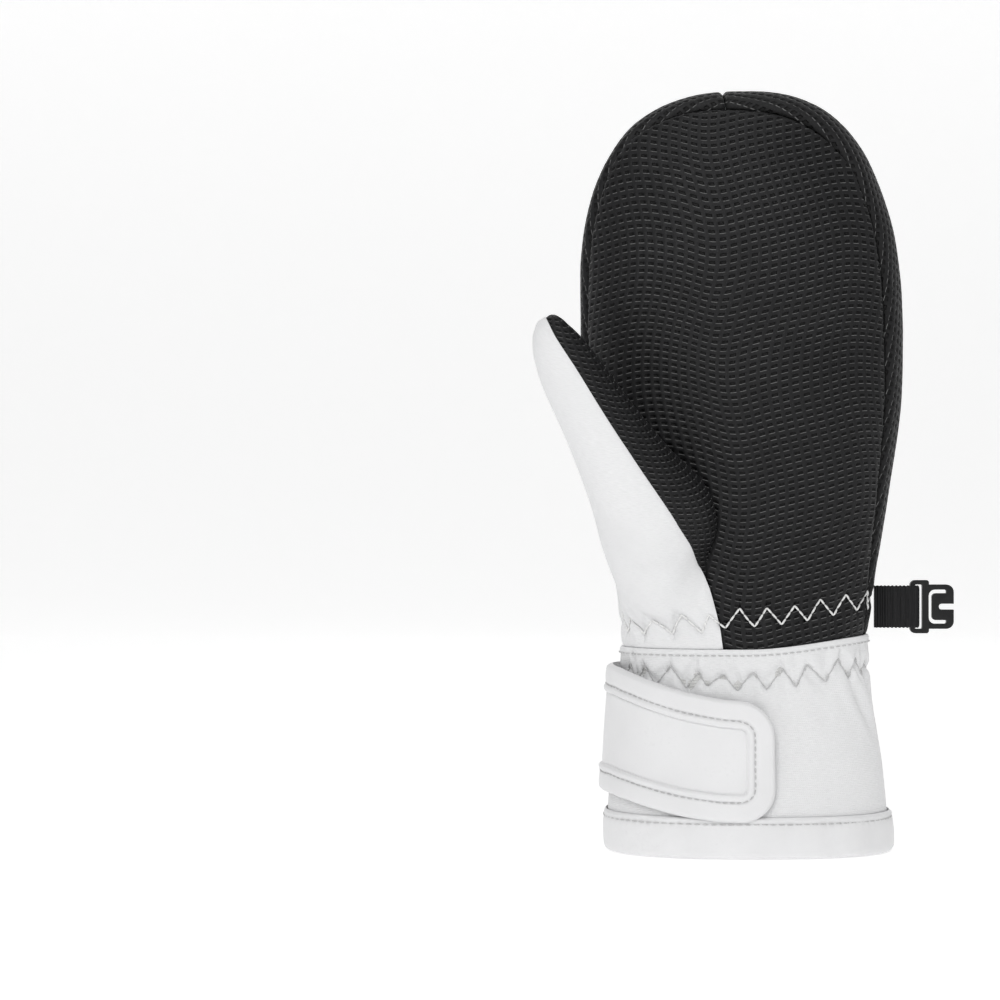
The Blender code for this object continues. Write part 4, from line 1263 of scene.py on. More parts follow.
@dataclass
class Hand:
    """The shell of the hand above the wrist seam."""

    shop: Workshop
    grip_step: float = 0.62
    cloth_step: float = 1.1
    pitch: tuple[float, float] = (3.5, 2.45)

    def wrist_curve(self, points: Array) -> Array:
        """Bends the rows near the wrist along the seam, which climbs towards the little finger."""
        climb = self.shop.form.wrist_climb(points[..., 0])
        out = points.copy()
        out[..., 2] += climb * bell(points[..., 2] - self.shop.form.wrist, SEAM_BAND)
        return out

    def flat_place(self, points: Array) -> tuple[Array, Array]:
        """Where points of the palm lie on the flat cloth, across and up, in millimetres."""
        form = self.shop.form
        x, z = points[..., 0], points[..., 2]
        centre, width = form.station(z)[:2]
        share = np.linspace(0, 1, 400)
        for_depth = []
        for ratio in (0.55, 0.334):
            depth = ratio * (1 - share**form.roundness) ** (1 / form.roundness)
            run = np.hypot(np.diff(share), np.diff(depth))
            for_depth.append(np.concatenate(([0.0], np.cumsum(run))))
        height = form.tip - form.dome_foot
        rise = np.clip((z - form.dome_foot) / height, 0, 1)
        chord = np.sqrt(np.maximum(1 - rise**2.5, 0.05))
        u = (x - centre) / (width * chord)
        across = width * chord * np.interp(np.abs(u), share, for_depth[0]) * np.sign(u)
        plain = width * np.interp(np.abs((x - centre) / width), share, for_depth[0]) * np.sign(u)
        across = lerp(across, plain, 0.75)
        up = np.where(z > form.dome_foot, form.dome_foot + height * np.interp(rise, share, for_depth[1]), z)
        return across, up

    def wave(self, across: Array, up: Array) -> Array:
        """The embossing's own coordinates on the palm: rows that rise and fall in long waves."""
        shift = np.interp(up, [60, 120, 150, 179, 236, 280], [13, 9, 7.2, 2.2, 0, -2])
        waves = (
            (-80, -3), (-58, 0.3), (-37, 3.2), (-26, 1.2), (-13, -2.4),
            (2, 0.6), (18, 4.4), (36, 8.4), (52, 7.2), (80, 3.0),
        )
        rows = catmull(waves, across - shift)[..., 0]
        columns = 3.4 * np.sin((up - 232.0) * (2 * math.pi / 84.0)) + 0.8 * np.sin(across * 0.09 + up * 0.05)
        heights = np.array([40.0, 120.0, 190.0, 225.0, 300.0])
        pitch = np.array([2.3, 2.35, 2.45, 2.85, 3.0])
        dense = np.linspace(40.0, 300.0, 521)
        count = np.concatenate(([0.0], np.cumsum(np.diff(dense) / np.interp(dense[1:], heights, pitch))))
        return join((across + columns) / self.pitch[0], np.interp(up - rows, dense, count))

    def rows(self, foot: float, step: float, most: float) -> Array:
        """`up` of the rows of a panel: evenly spaced on the body and then round the dome."""
        form = self.shop.form
        low = form.up_of(foot)
        body = np.linspace(low, 0.0, max(4, round((form.dome_foot - foot) / step)))
        turn = math.radians(most)
        dome = np.linspace(0, turn, round(1.12 * (form.tip - form.dome_foot) / step))[1:]
        share = (np.sin(dome) / math.sin(turn)) ** (2 / form.roundness)
        return trim(np.concatenate((body, share)))

    def columns(self, step: float, width: float, most: float) -> Array:
        """`across` of the columns of a panel, evenly spaced in angle."""
        turn = math.radians(most)
        count = round(width / step / 3) * 3 + 1
        return power(np.sin(np.linspace(-turn, turn, count)) / math.sin(turn), 2 / self.shop.form.roundness)

    def panel_grid(self, side: float, reach: Callable, step: float, width: float) -> Array:
        """Points of the palm panel or of the back panel."""
        form = self.shop.form
        across = self.columns(step, width, 62.0)[:, None]
        up = self.rows(form.wrist, step, 62.0)[None, :]
        across, up = np.broadcast_arrays(across, up)
        rise = np.maximum(up, 0.0)
        low = form.hand(across * reach(np.minimum(up, 0.0), across), np.minimum(up, 0.0), side)
        x = across * np.sqrt(1 - rise * rise / 2)
        z = rise * np.sqrt(1 - across * across / 2)
        share = lerp(reach(0 * up, -1 + 0 * up), reach(0 * up, 1 + 0 * up), 0.5 + 0.5 * x)
        high = form.hand(*square_of_disc(x * share, z * share), side)
        return self.wrist_curve(np.where((up > 0)[..., None], high, low))

    @staticmethod
    def seam_share(along: Array, hand_side: Array) -> Array:
        """Share of the half width inside the palm's seam."""
        cosine = np.cos(np.maximum(along, 0.0) * math.pi / 2)
        high = lerp(0.985, 0.875, 0.5 + 0.5 * hand_side * cosine)
        low = np.where(hand_side < 0, 0.985, lerp(0.875, 0.975, -np.minimum(along, 0.0)))
        return np.where(along > 0, high, low)

    def palm_share(self, up: Array, across: Array) -> Array:
        """Share of the half width that the palm panel covers; the white side and the thumb take the rest."""
        form = self.shop.form
        z = lerp(form.dome_foot, form.wrist, -up)
        centre, width = form.station(z)[:2]
        white = np.clip((centre - np.interp(z, SEAM_HEIGHTS, SEAM_ACROSS)) / width, 0.15, 0.985)
        under = lerp(white, 0.985, smooth(z, 102.0, 126.0))
        return np.where(across < 0, under, self.seam_share(up, np.ones_like(up))) - 0.002

    def edge_grid(self, hand_side: int, along: Array, front: Array, back: Array, columns: int) -> Array:
        """Points of a piece that wraps round the hand's edge."""
        share = np.linspace(0.0, 1.0, columns)[:, None]
        turn = lerp(-front[None, :], back[None, :], share)
        return self.wrist_curve(self.shop.form.edge(along[None, :], hand_side, turn))

    def turn_of(self, share: Array) -> Array:
        """The angle round the edge of a share of the half width."""
        return np.arccos(np.clip(share, 0, 1) ** (self.shop.form.roundness / 2))

    def build(self) -> None:
        """Makes the palm, the back, the two edge strips and the strip behind the thumb."""
        self.palm()
        self.back()
        self.strips()
        self.side()

    def palm(self) -> None:
        """The embossed grip palm."""
        form = self.shop.form
        grid = self.panel_grid(-1.0, self.palm_share, self.grip_step, 132.0)
        thumb = form.thumb_distance(grid)
        soft = 3.0
        raised = np.where(thumb > 0, np.maximum(soft - thumb, 0.0) ** 2 / (4 * soft), soft / 4)
        pattern = self.wave(*self.flat_place(grid))
        panel = ShellPanel(
            "palm_grip",
            grid,
            "black_grip",
            ((1.9, 4.0), (1.9, 4.0), (0.9, 3.0), (1.9, 4.0)),
            pattern,
            sink=-raised + 1.3 * bell(np.maximum(thumb, 0), 1.3),
        )
        panel.sew(self.shop, "hand", "palm_panel")

    def back(self) -> None:
        """The white back of the hand."""
        grid = self.panel_grid(1.0, lambda up, across: np.full_like(up, 0.858), self.cloth_step, 120.0)
        panel = ShellPanel("hand_back", grid, "white_softshell", ((1.6, 5.0), (1.6, 5.0), (0.9, 3.0), (1.6, 5.0)))
        panel.sew(self.shop, "hand", "hand_back_panel")

    def strips(self) -> None:
        """The two black edge strips, which meet at the fingertip."""
        form = self.shop.form
        for name, node, hand_side, foot in (
            ("edge_strip_little_finger", "edge_strip_pinky", 1, form.wrist),
            ("edge_strip_index_finger", "edge_strip_index", -1, 110.0),
        ):
            low = form.up_of(foot)
            body = np.linspace(low, 0, round((form.dome_foot - foot) / self.grip_step))
            top = 1.0 + 0.0765 * hand_side - 0.0015
            along = trim(np.concatenate((body, np.linspace(0, top, round(128 * top / self.grip_step))[1:])))
            front = self.turn_of(self.seam_share(along, np.full_like(along, hand_side)) + 0.002)
            back = self.turn_of(np.full_like(along, BACK_SEAM))
            grid = self.edge_grid(hand_side, along, front, back, 61)
            sink: Array | float = 0.0
            if hand_side < 0:
                sink = 1.9 * (1 - smooth(grid[..., 2], 113.5, 118.5))
            runs = runs_from_edges(grid)
            middle = runs[0] - runs[0][30:31]
            pattern = join((runs[2] + 0.35 * middle) / 3.3, (middle - 0.22 * runs[2]) / 2.7)
            plump = 0.55 * np.sin(np.linspace(0, math.pi, 61))[:, None] * smooth(grid[..., 2], 96, 130)
            panel = ShellPanel(
                name,
                grid,
                "black_grip",
                ((2.1, 3.6), (1.6, 4.2), (0.9, 3.0), (0.75, 1.7)),
                pattern,
                sink=sink - plump,
                pit_depth=0.34,
            )
            panel.sew(self.shop, "hand", node)

    def side(self) -> None:
        """The narrow white strip behind the thumb, from its side seam to the back of the hand."""
        form = self.shop.form
        heights = np.linspace(form.wrist, 118.0, 43)
        along = trim(form.up_of(heights))
        front = np.full_like(along, math.radians(14.0))
        back = self.turn_of(np.full_like(along, BACK_SEAM))
        grid = self.edge_grid(-1, along, front, back, 40)
        share = np.linspace(0.0, 1.0, 40)[:, None]
        turned = np.degrees(lerp(-front[None, :], back[None, :], share))
        panel = ShellPanel(
            "side_gusset",
            grid,
            "white_softshell",
            ((0.3, 2.0), (1.6, 5.0), (0.9, 3.0), (0.5, 1.2)),
            sink=1.3 * (1 - smooth(turned, -2.0, 9.0)),
        )
        panel.sew(self.shop, "hand", "index_side_panel")


def trim(values: Array) -> Array:
    """Values read anew so that their count is a whole number of coarse cells and one more."""
    count = max(2, round((len(values) - 1) / COARSE)) * COARSE + 1
    return np.interp(np.linspace(0, len(values) - 1, count), np.arange(len(values)), values)


@dataclass
class Thumb:
    """The set-in thumb: a white outside that runs on down to the wrist seam, and a grip inside."""

    shop: Workshop
    hand: Hand
    root: float = 0.30
    lap: float = 0.7

    def white(self) -> None:
        """The white outside, from the wrist seam to the thumb's tip."""
        form = self.shop.form
        rows = trim(np.linspace(0.0, 1.0, 151))
        turn = np.linspace(0.0, 1.0, 73)[:, None]
        low_z = np.interp(rows, [0, self.root], [form.wrist, 104.0])
        centre, width = form.station(low_z)[:2]
        share = np.clip((centre - np.interp(low_z, SEAM_HEIGHTS, SEAM_ACROSS) - self.lap) / width, 0.1, 0.95)
        front = self.hand.turn_of(share)
        low = form.edge(form.up_of(low_z)[None, :], -1, lerp(-front[None, :], math.radians(6.0), turn))
        low = self.hand.wrist_curve(low)
        station = np.interp(rows, [0, self.root, 1.0], [-1.0, -0.1, 5.995])
        station = np.where(rows > 0.8, 5.995 - (5.995 - station) * (1 - 0.25 * smooth(rows, 0.8, 1.0)), station)
        seam = form.thumb_seam(station)
        span = self.white_span(station)
        high = form.thumb_point(station[None, :], seam + self.lap / 16.0 - span * turn)
        mix = smooth(rows, 0.06, self.root + 0.04)[None, :, None]
        grid = lerp(low, high, mix)
        settled = form.settle(grid, form.distance, 5)
        keep = smooth(rows, 0.55, 0.7)[None, :, None]
        pin = (smooth(turn, 0.6, 1.0) * (1 - smooth(rows, 0.22, 0.62))[None, :])[..., None]
        low_down = form.settle(grid, form.hand_distance, 5)
        grid = lerp(lerp(settled, grid, keep), low_down, pin)
        ease = smooth(turn, 0.5, 1.0) * smooth(rows, 0.1, 0.3)[None, :] * (1 - smooth(rows, 0.66, 0.85))[None, :]
        for _ in range(EASE_ROUNDS):
            middle = 0.5 * (grid[:, :-2] + grid[:, 2:])
            grid[:, 1:-1] = lerp(grid[:, 1:-1], middle, ease[:, 1:-1, None])
        panel = ShellPanel(
            "thumb_white_outside",
            grid,
            "white_softshell",
            ((0.4, 1.6), (1.0, 3.0), (0.9, 3.0), (0.1, 0.6)),
            measure=lambda p: lerp(form.distance(p), form.thumb_distance(p), smooth(p[..., 2], 136, 156)),
        )
        panel.sew(self.shop, THUMB_BLEND, "thumb_back_panel")

    def grip(self) -> None:
        """The grip inside of the thumb, which lies over the palm."""
        form = self.shop.form
        rows = trim(np.linspace(0.0, 1.0, 190))
        turn = np.linspace(0.0, 1.0, 100)[:, None]
        station = np.interp(rows, [0, 1.0], [-1.0, 5.995])
        seam = form.thumb_seam(station)
        span = 2 * math.pi - self.white_span(station)
        grid = form.thumb_point(station[None, :], seam + span * turn)
        hand = form.hand_distance(grid)
        soft = 2.5
        raise_by = np.maximum(soft - np.abs(hand), 0.0) ** 2 / (4 * soft)
        runs = runs_from_edges(grid)
        drift = 0.45 * runs[0] + 1.6 * np.sin(runs[0] * 0.16)
        pattern = join((runs[0] - 0.3 * runs[2]) / 3.1, (runs[2] + drift) / 2.55)
        hidden = 5.0 * smooth(turn, 0.42, 0.7) * (1 - smooth(station, 0.2, 1.3))[None, :]
        panel = ShellPanel(
            "thumb_grip",
            grid,
            "black_grip",
            ((0.9, 2.6), (1.0, 3.0), (1.2, 4.0), (0.1, 0.6)),
            pattern,
            measure=form.thumb_distance,
            sink=-raise_by + 0.8 * bell(hand, 1.2) + hidden,
            pit_depth=0.3,
        )
        panel.sew(self.shop, THUMB_BLEND, "thumb_palm_panel")

    def white_span(self, station: Array) -> Array:
        """How far round the thumb the white outside reaches from the seam in front."""
        return np.interp(station, [-1, 0, 1, 2, 3, 6], [3.0, 3.0, 3.0, 3.05, 3.12, math.pi])

    def build(self) -> None:
        """Makes both halves of the thumb."""
        self.white()
        self.grip()


# ---- cuff


@dataclass
class Cuff:
    """The gauntlet below the wrist seam and the binding folded over its hem."""

    shop: Workshop
    foot: float = 2.0
    hem_height: float = 14.4
    hem_inside: float = 12.4

    def gauntlet(self, name: str, node: str, side: int) -> None:
        """The front half or the back half of the gauntlet."""
        form = self.shop.form
        angles = side * np.linspace(0.0, math.pi, 172)[:, None]
        heights = trim(np.linspace(self.foot, form.wrist - 0.1, 91))
        grid = form.ring(heights[None, :], angles)
        climb = form.wrist_climb(grid[..., 0])
        grid[..., 2] += climb * bell(grid[..., 2] - form.wrist, SEAM_BAND)
        top = runs_from_edges(grid)[3]
        fold = 0.5 * smooth(top, 3.4, 1.2) + 0.15
        panel = ShellPanel(
            name,
            grid,
            "white_softshell",
            ((0.9, 3.0), (0.9, 3.0), (0.0, 1.0), (0.7, 0.8)),
            sink=-fold,
            relief=self.relief,
            thickness=0.9,
        )
        panel.sew(self.shop, "hand", node)

    def relief(self, points: Array) -> Array:
        """The gauntlet's folds, which the strap presses flat."""
        turn = np.mod(-np.degrees(self.shop.form.ring_angle(points)), 360.0)
        z = points[..., 2]
        under = smooth(turn, 84.0, 90.0) * (1 - smooth(turn, 222.0, 230.0))
        level = np.interp(turn, [77, 180, 232], [34.2, 42.5, 42.5])
        half = np.interp(turn, [77, 180, 232], [20.8, 22.6, 22.6])
        flat = under * (1 - smooth(np.abs(z - level) - half, -4.5, -1.5))
        return self.shop.padding.relief(points) * (1 - flat) - 0.5 * flat

    def hem(self) -> None:
        """The binding folded over the lower edge."""
        form = self.shop.form
        count = 336
        profile = [(-0.85, self.hem_height - 0.25), (-0.5, self.hem_height)]
        outer = [(-1.15, self.hem_height - 0.7), (-1.3, self.hem_height - 1.4)]
        heights = np.linspace(self.hem_height - 2.2, 2.6, 13)
        outer += [(-1.35 - 0.22 * math.sin(math.pi * k / 12), float(z)) for k, z in enumerate(heights)]
        foot = [(-1.2, 1.3), (-0.85, 0.55), (-0.2, 0.08), (0.6, 0.0), (2.4, 0.0), (4.2, 0.02), (5.3, 0.3)]
        inside = [(5.9, 1.0), (6.1, 2.4), (6.15, 5.0), (6.15, 8.0), (6.1, 10.8), (5.9, 12.0)]
        inside += [(5.3, self.hem_inside), (4.9, 12.0), (4.85, 7.0)]
        channel = [(4.85, 1.8), (2.0, 1.75), (-0.25, 1.8), (-0.3, 8.0), (-0.32, self.hem_height - 1.4)]
        section = np.array(profile[::-1] + outer + foot + inside + channel)
        angle = round_turns(count)
        grid = form.ring(section[None, :, 1], angle)
        flat = form.ring(np.full_like(section[None, :, 1], 8.0), angle)
        normals = unit(form.slope(flat, form.hand_distance) * np.array([1.0, 1.0, 0.0]))
        lift = np.broadcast_to(-section[None, :, 0], grid.shape[:2]).copy()
        face = ((section[:, 0] < -1.0) & (section[:, 1] > 1.0))[None, :]
        run = path_run(grid[:, 8])[:, None]
        stitch = section[None, :, 1] - (self.hem_height - 2.3)
        pucker = 0.16 * np.cos(run * 2 * math.pi / 2.9) * bell(stitch, 1.6)
        groove = -0.34 * bell(stitch, 0.55)
        soft = 0.28 * wobble(grid * np.array([1, 1, 0.6]), 18.0, 31) + 0.12 * wobble(grid, 7.0, 32)
        lift = lift + np.where(face, pucker + groove + soft, 0.0)
        points = grid + normals * lift[..., None]
        rows = len(section)
        faces = grid_faces(count, rows, wrap=True)
        for k in range(count):
            n = (k + 1) % count
            faces.append([k * rows + rows - 1, n * rows + rows - 1, n * rows, k * rows])
        weave = join(run, np.cumsum(np.hypot(*np.gradient(section, axis=0).T))[None, :])
        shade = np.broadcast_to(np.where(face, np.clip(-groove * 1.6, 0, 1), 0.0), lift.shape)
        made = make_object(
            "hem_binding",
            to_scene(points.reshape(-1, 3)),
            faces,
            self.shop.finish("white_coated_trim"),
            {"weave": weave.reshape(-1, 2)},
            shade,
        )
        self.shop.place(made, "white_coated_trim", "hand", ["hem_band"])

    def build(self) -> None:
        """Makes the two halves of the gauntlet and the hem."""
        self.gauntlet("gauntlet_palm_side", "gauntlet_front", -1)
        self.gauntlet("gauntlet_back_side", "gauntlet_back", 1)
        self.hem()


# ---- strap


@dataclass
class Strap:
    """The touch-fastening strap: it is sewn to the back of the cuff, folds round the side and peels open."""

    shop: Workshop
    end_turn: float = -84.4
    fold_turn: float = -180.0
    back_turn: float = -232.0
    level: tuple = (
        (-180.0, 43.6), (-160.0, 43.2), (-145.0, 41.4), (-130.0, 38.9), (-115.0, 36.2), (-100.0, 34.2),
        (-84.4, 33.3),
    )
    half: tuple[float, float] = (20.8, 22.6)
    corner: float = 12.0
    cone: tuple[float, float, float] = (13.0, 50.5, 34.9)
    taper: float = 0.066
    stitch_line: float = 6.9
    top: float = 3.3

    def __post_init__(self) -> None:
        """Measures the strap's length round the cuff."""
        bend = 2 / self.shop.form.roundness
        self.turns = np.linspace(self.end_turn, self.back_turn, 800)
        turn = np.radians(self.turns)
        spine = join(self.cone[1] * power(np.cos(turn), bend), self.cone[2] * power(np.sin(turn), bend))
        self.runs = path_run(spine)
        self.fold = float(np.interp(-self.fold_turn, -self.turns, self.runs))
        self.length = float(self.runs[-1])
        LOG.info("strap: %.1f mm to the fold, %.1f mm in all", self.fold, self.length)

    def surface(self, run: Array, height: Array, outset: Array) -> Array:
        """Points over the strap.

        Args:
            run: Distance from the free end.
            height: Height above the strap's middle line.
            outset: How far the points stand off the cone that the strap lies on.

        Returns:
            Points shaped like the broadcast arguments.
        """
        run, height, outset = np.broadcast_arrays(run, height, outset)
        turn = np.interp(run, self.runs, self.turns)
        keys, levels = np.array(self.level).T
        z = np.interp(turn, keys, levels) + height
        slope = self.taper * (z - self.cone[0])
        c, s = np.cos(np.radians(turn)), np.sin(np.radians(turn))
        bend = 2 / self.shop.form.roundness
        x = 0.5 + (self.cone[1] - slope + outset) * power(c, bend)
        return join(x, (self.cone[2] - slope + outset) * power(s, bend), z)

    def full_half(self, run: Array) -> Array:
        """Half the strap's width away from its corners."""
        return lerp(self.half[0], self.half[1], np.clip(run / self.fold, 0.0, 1.0))

    def half_width(self, run: Array, margin: float = 0.0) -> Array:
        """Half the strap's width, less at the free end's corners."""
        corner = max(self.corner - margin, 1.0)
        inside = np.clip(corner - (run - margin), 0.0, corner)
        return self.full_half(run) - margin + np.sqrt(np.maximum(corner**2 - inside**2, 0.0)) - corner

    def from_outline(self, run: Array, height: Array) -> Array:
        """Distance of points of the strap from its cut edge."""
        a = self.corner - run
        b = np.abs(height) - (self.full_half(run) - self.corner)
        outside = np.hypot(np.maximum(a, 0), np.maximum(b, 0))
        return self.corner - outside - np.minimum(np.maximum(a, b), 0)

    def profile(self, inset: Array) -> Array:
        """How far the strap's face stands out, by the distance from its cut edge."""
        edge = -1.5 * np.clip(1 - inset / 1.5, 0, 1) ** 2.2
        plump = 0.16 * np.sin(np.clip((inset - 0.9) / (self.stitch_line - 0.9), 0, 1) * math.pi)
        seam = -0.42 * bell(inset - self.stitch_line, 0.42)
        bead = 0.5 * np.sqrt(np.clip(1 - ((inset - 8.45) / 1.1) ** 2, 0, 1))
        drop = -0.62 * smooth(inset, 9.3, 9.8)
        ditch = -0.28 * bell(inset - 9.8, 0.35)
        return edge + plump + seam + bead + drop + ditch

    def build(self) -> None:
        """Makes the strap and its touch patches."""
        self.face()
        self.patch("hook_patch", "strap_hook_patch", "hook_tape", "strap", (4.6, 36.0), (1.3, 1.85), 0.30)
        self.patch("loop_patch", "cuff_loop_patch", "loop_tape", "hand", (4.6, 52.0), (0.4, 0.95), 0.16)

    def face(self) -> None:
        """The strap itself, in one piece from the free end to the sewn one."""
        head = self.corner * (1 - np.cos(np.linspace(0, math.pi / 2, 31)))
        body = np.linspace(self.corner, self.length, 190)[1:]
        run = trim(np.concatenate((head, body)))[:, None]
        height = np.linspace(-1, 1, 136)[None, :] * self.half_width(run)
        inset = self.from_outline(run, height)
        tail = self.length - run
        settle = 1.35 * smooth(run, self.fold + 4.0, self.length - 8.0)
        sewn = -1.1 * np.clip(1 - tail / 1.2, 0, 1) ** 2 - 0.42 * bell(tail - 3.0, 0.42)
        lift = self.top + self.profile(inset) - settle + sewn
        lift = lift + 0.14 * wobble(self.surface(run, height, 4.2), 26.0, 41)
        base = 1.9 - 0.9 * (1 - smooth(inset, 2.0, 4.0)) - settle
        outer = self.surface(run, height, lift)
        under = self.surface(run, height, np.minimum(base, lift - 0.45))[::COARSE, ::COARSE]
        points, faces = quilt(to_scene(outer), to_scene(under))
        weave = join(run, height)
        shade = bell(inset - self.stitch_line, 0.3) + 0.8 * bell(inset - 9.8, 0.25)
        shade = 0.45 * np.clip(shade, 0, 1)
        shades = stack_maps(shade, 1)
        made = make_object(
            "cuff_strap",
            points,
            faces,
            self.shop.finish("white_coated_trim"),
            {"weave": stack_maps(weave)},
            shades,
        )
        self.shop.place(made, "white_coated_trim", STRAP_BLEND, ["strap_tab", "strap_border", "strap_anchor"])

    def patch(
        self, name: str, node: str, slot: str, body: str, span: tuple, layer: tuple, nap: float
    ) -> None:
        """A patch of touch tape under the strap."""
        run = np.linspace(*span, 130)[:, None]
        margin = 4.0
        height = np.linspace(-1, 1, 100)[None, :] * self.half_width(run + 12.0, margin)
        rng = np.random.default_rng(len(name))
        rough = nap * rng.uniform(-1, 0.2, height.shape)
        low, high = layer
        if slot == "hook_tape":
            outer = self.surface(run, height, low - 0.4 * rough)
            inner = self.surface(run, height, high)
        else:
            outer = self.surface(run, height, high + rough)
            inner = self.surface(run, height, low)
        points, faces = quilt(to_scene(outer), to_scene(inner[::COARSE, ::COARSE]))
        made = make_object(name, points, faces, self.shop.finish(slot))
        self.shop.place(made, slot, body, [node])


# ---- webbing and clip


@dataclass
class Clip:
    """The ribbed webbing out of the side seam and the hook clip in its fold."""

    shop: Workshop
    width: float = 15.0
    thick: float = 1.1
    height: float = 86.5
    depth_y: float = 4.0
    root: float = 47.9
    bar: float = 60.6
    reach: float = 1.6
    rib: float = 1.4

    def at(self, x: float, y: float, z: float) -> tuple[float, float, float]:
        """A place given from the clip's own middle, in the scene's frame."""
        return tuple(to_scene(np.array([x + self.bar, y + self.depth_y, z + self.height])))

    def webbing(self) -> None:
        """The webbing, folded in two round the clip's bar."""
        start, spread = self.root - 0.9, self.root + 5.0
        run_x = np.linspace(start, self.bar, 74)
        middle = self.reach + self.thick / 2
        offset = 0.95 + (middle - 0.95) * smooth(run_x, start, spread)
        turn = np.linspace(math.pi / 2, -math.pi / 2, 34)[1:-1]
        top = join(run_x, offset)
        bend = join(self.bar + middle * np.cos(turn), middle * np.sin(turn))
        line = np.concatenate((top, bend, (top * np.array([1, -1]))[::-1]))
        ahead = unit(np.gradient(line, axis=0))
        normal = join(-ahead[:, 1], ahead[:, 0])
        run = path_run(line)
        level = np.linspace(-1, 1, 34)
        rounding = np.sqrt(np.clip(1 - np.abs(level) ** 14, 0.0, 1))
        rows = []
        for share, thin in zip(level, rounding):
            bow = 0.35 * share * share
            rib = np.abs(np.sin((run + bow) * math.pi / self.rib)) ** 0.7
            weft = 0.5 + 0.5 * math.sin(share * 34.0)
            half = self.thick / 2 * (0.45 + 0.55 * thin) * (0.80 + 0.24 * rib + 0.03 * weft)
            edge = 0.14 * np.sin((run + bow) * 2 * math.pi / self.rib) * (abs(share) > 0.96)
            z = np.full(len(run), share * self.width / 2) + math.copysign(1, share) * edge
            outer = line + normal * half[:, None]
            inner = line - normal * half[:, None]
            both = np.concatenate((outer, inner[::-1]))
            heights = np.concatenate((z, z[::-1])) + self.height
            rows.append(join(both[:, 0], both[:, 1] + self.depth_y, heights))
        grid = np.stack(rows, axis=1)
        columns, depth = grid.shape[:2]
        faces = grid_faces(columns, depth, wrap=True)
        half_count = len(run)
        for row in (0, depth - 1):
            for k in range(half_count - 1):
                a, b = k, k + 1
                c, d = columns - 2 - k, columns - 1 - k
                faces.append([a * depth + row, b * depth + row, c * depth + row, d * depth + row])
        both_run = np.concatenate((run, run[::-1]))
        weave = join(level[None, :] * 7.5, both_run[:, None])
        made = make_object(
            "webbing_fold",
            to_scene(grid.reshape(-1, 3)),
            faces,
            self.shop.finish("black_webbing"),
            {"weave": weave.reshape(-1, 2)},
        )
        self.shop.place(made, "black_webbing", "webbing", ["webbing_loop"])

    def block(self, corner: tuple, stop: float, near: float = 0.0, far: float = 0.0) -> Piece:
        """A block that is centred on the clip's middle line.

        Args:
            corner: Where it starts along the clip, half its thickness and half its height.
            stop: Where it ends along the clip.
            near: Radius of its two upright edges at the start, 0 for sharp ones.
            far: Radius of the two at its end.

        Returns:
            The block.
        """
        first, y, z = corner
        deselect()
        bpy.ops.mesh.primitive_cube_add(size=1.0)
        made = bpy.context.object
        made.scale = [(stop - first) * MM, 2 * y * MM, 2 * z * MM]
        made.location = self.at((first + stop) / 2, 0.0, 0.0)
        bpy.ops.object.transform_apply(location=True, rotation=True, scale=True)
        for x, radius in ((first, near), (stop, far)):
            for height in (-z, z) if radius else ():
                self.round_edge(made, x, height, radius)
        return made

    def round_edge(self, block: Piece, x: float, z: float, radius: float) -> None:
        """Rounds the one edge of a block that runs through its thickness at a corner."""
        place = self.at(x, 0, z)
        select_edges(block, lambda end: abs(end.x - place[0]) < 1e-5 and abs(end.z - place[2]) < 1e-5)
        bpy.ops.mesh.bevel(offset=radius * MM, segments=6, affect="EDGES")
        bpy.ops.object.mode_set(mode="OBJECT")

    def combine(self, piece: Piece, other: Piece, operation: str) -> None:
        """Joins or cuts a piece with another, which is used up."""
        step = piece.modifiers.new("combine", "BOOLEAN")
        step.operation = operation
        step.solver = "EXACT"
        step.object = other
        apply(piece, step)
        bpy.data.objects.remove(other)

    def hook(self) -> None:
        """The hook half of the clip."""
        clip = self.block((5.2, 1.1, 8.0), 15.0, far=2.7)
        self.combine(clip, self.block((-0.8, 1.45, 9.6), 6.0, near=1.9, far=0.9), "UNION")
        self.combine(clip, self.block((0.8, 4.0, 8.0), 3.6, near=0.6, far=0.6), "DIFFERENCE")
        channel = self.block((5.9, 3.0, 6.15), 12.3, near=2.3, far=0.6)
        core = self.block((7.1, 4.0, 4.85), 14.0, near=1.4)
        self.combine(channel, core, "DIFFERENCE")
        self.combine(clip, channel, "DIFFERENCE")
        self.combine(clip, self.block((9.6, 4.0, 1.05), 17.0, near=1.0), "DIFFERENCE")
        self.finish_clip(clip)

    def finish_clip(self, clip: Piece) -> None:
        """Softens the clip's edges as a mould leaves them."""
        clip.name = "clip_hook"
        bevel = clip.modifiers.new("mould_edge", "BEVEL")
        bevel.width = 0.32 * MM
        bevel.segments = 3
        bevel.limit_method = "ANGLE"
        bevel.angle_limit = math.radians(42)
        bevel.harden_normals = False
        apply(clip, bevel)
        bpy.ops.object.shade_smooth_by_angle(angle=math.radians(35))
        clip.data.materials.clear()
        clip.data.materials.append(self.shop.finish("black_plastic"))
        LOG.info("clip_hook: %d faces", len(clip.data.polygons))
        self.shop.place(clip, "black_plastic", "hook", ["hook_clip"])

    def build(self) -> None:
        """Makes the webbing and the clip."""
        self.webbing()
        self.hook()


# ---- sewing


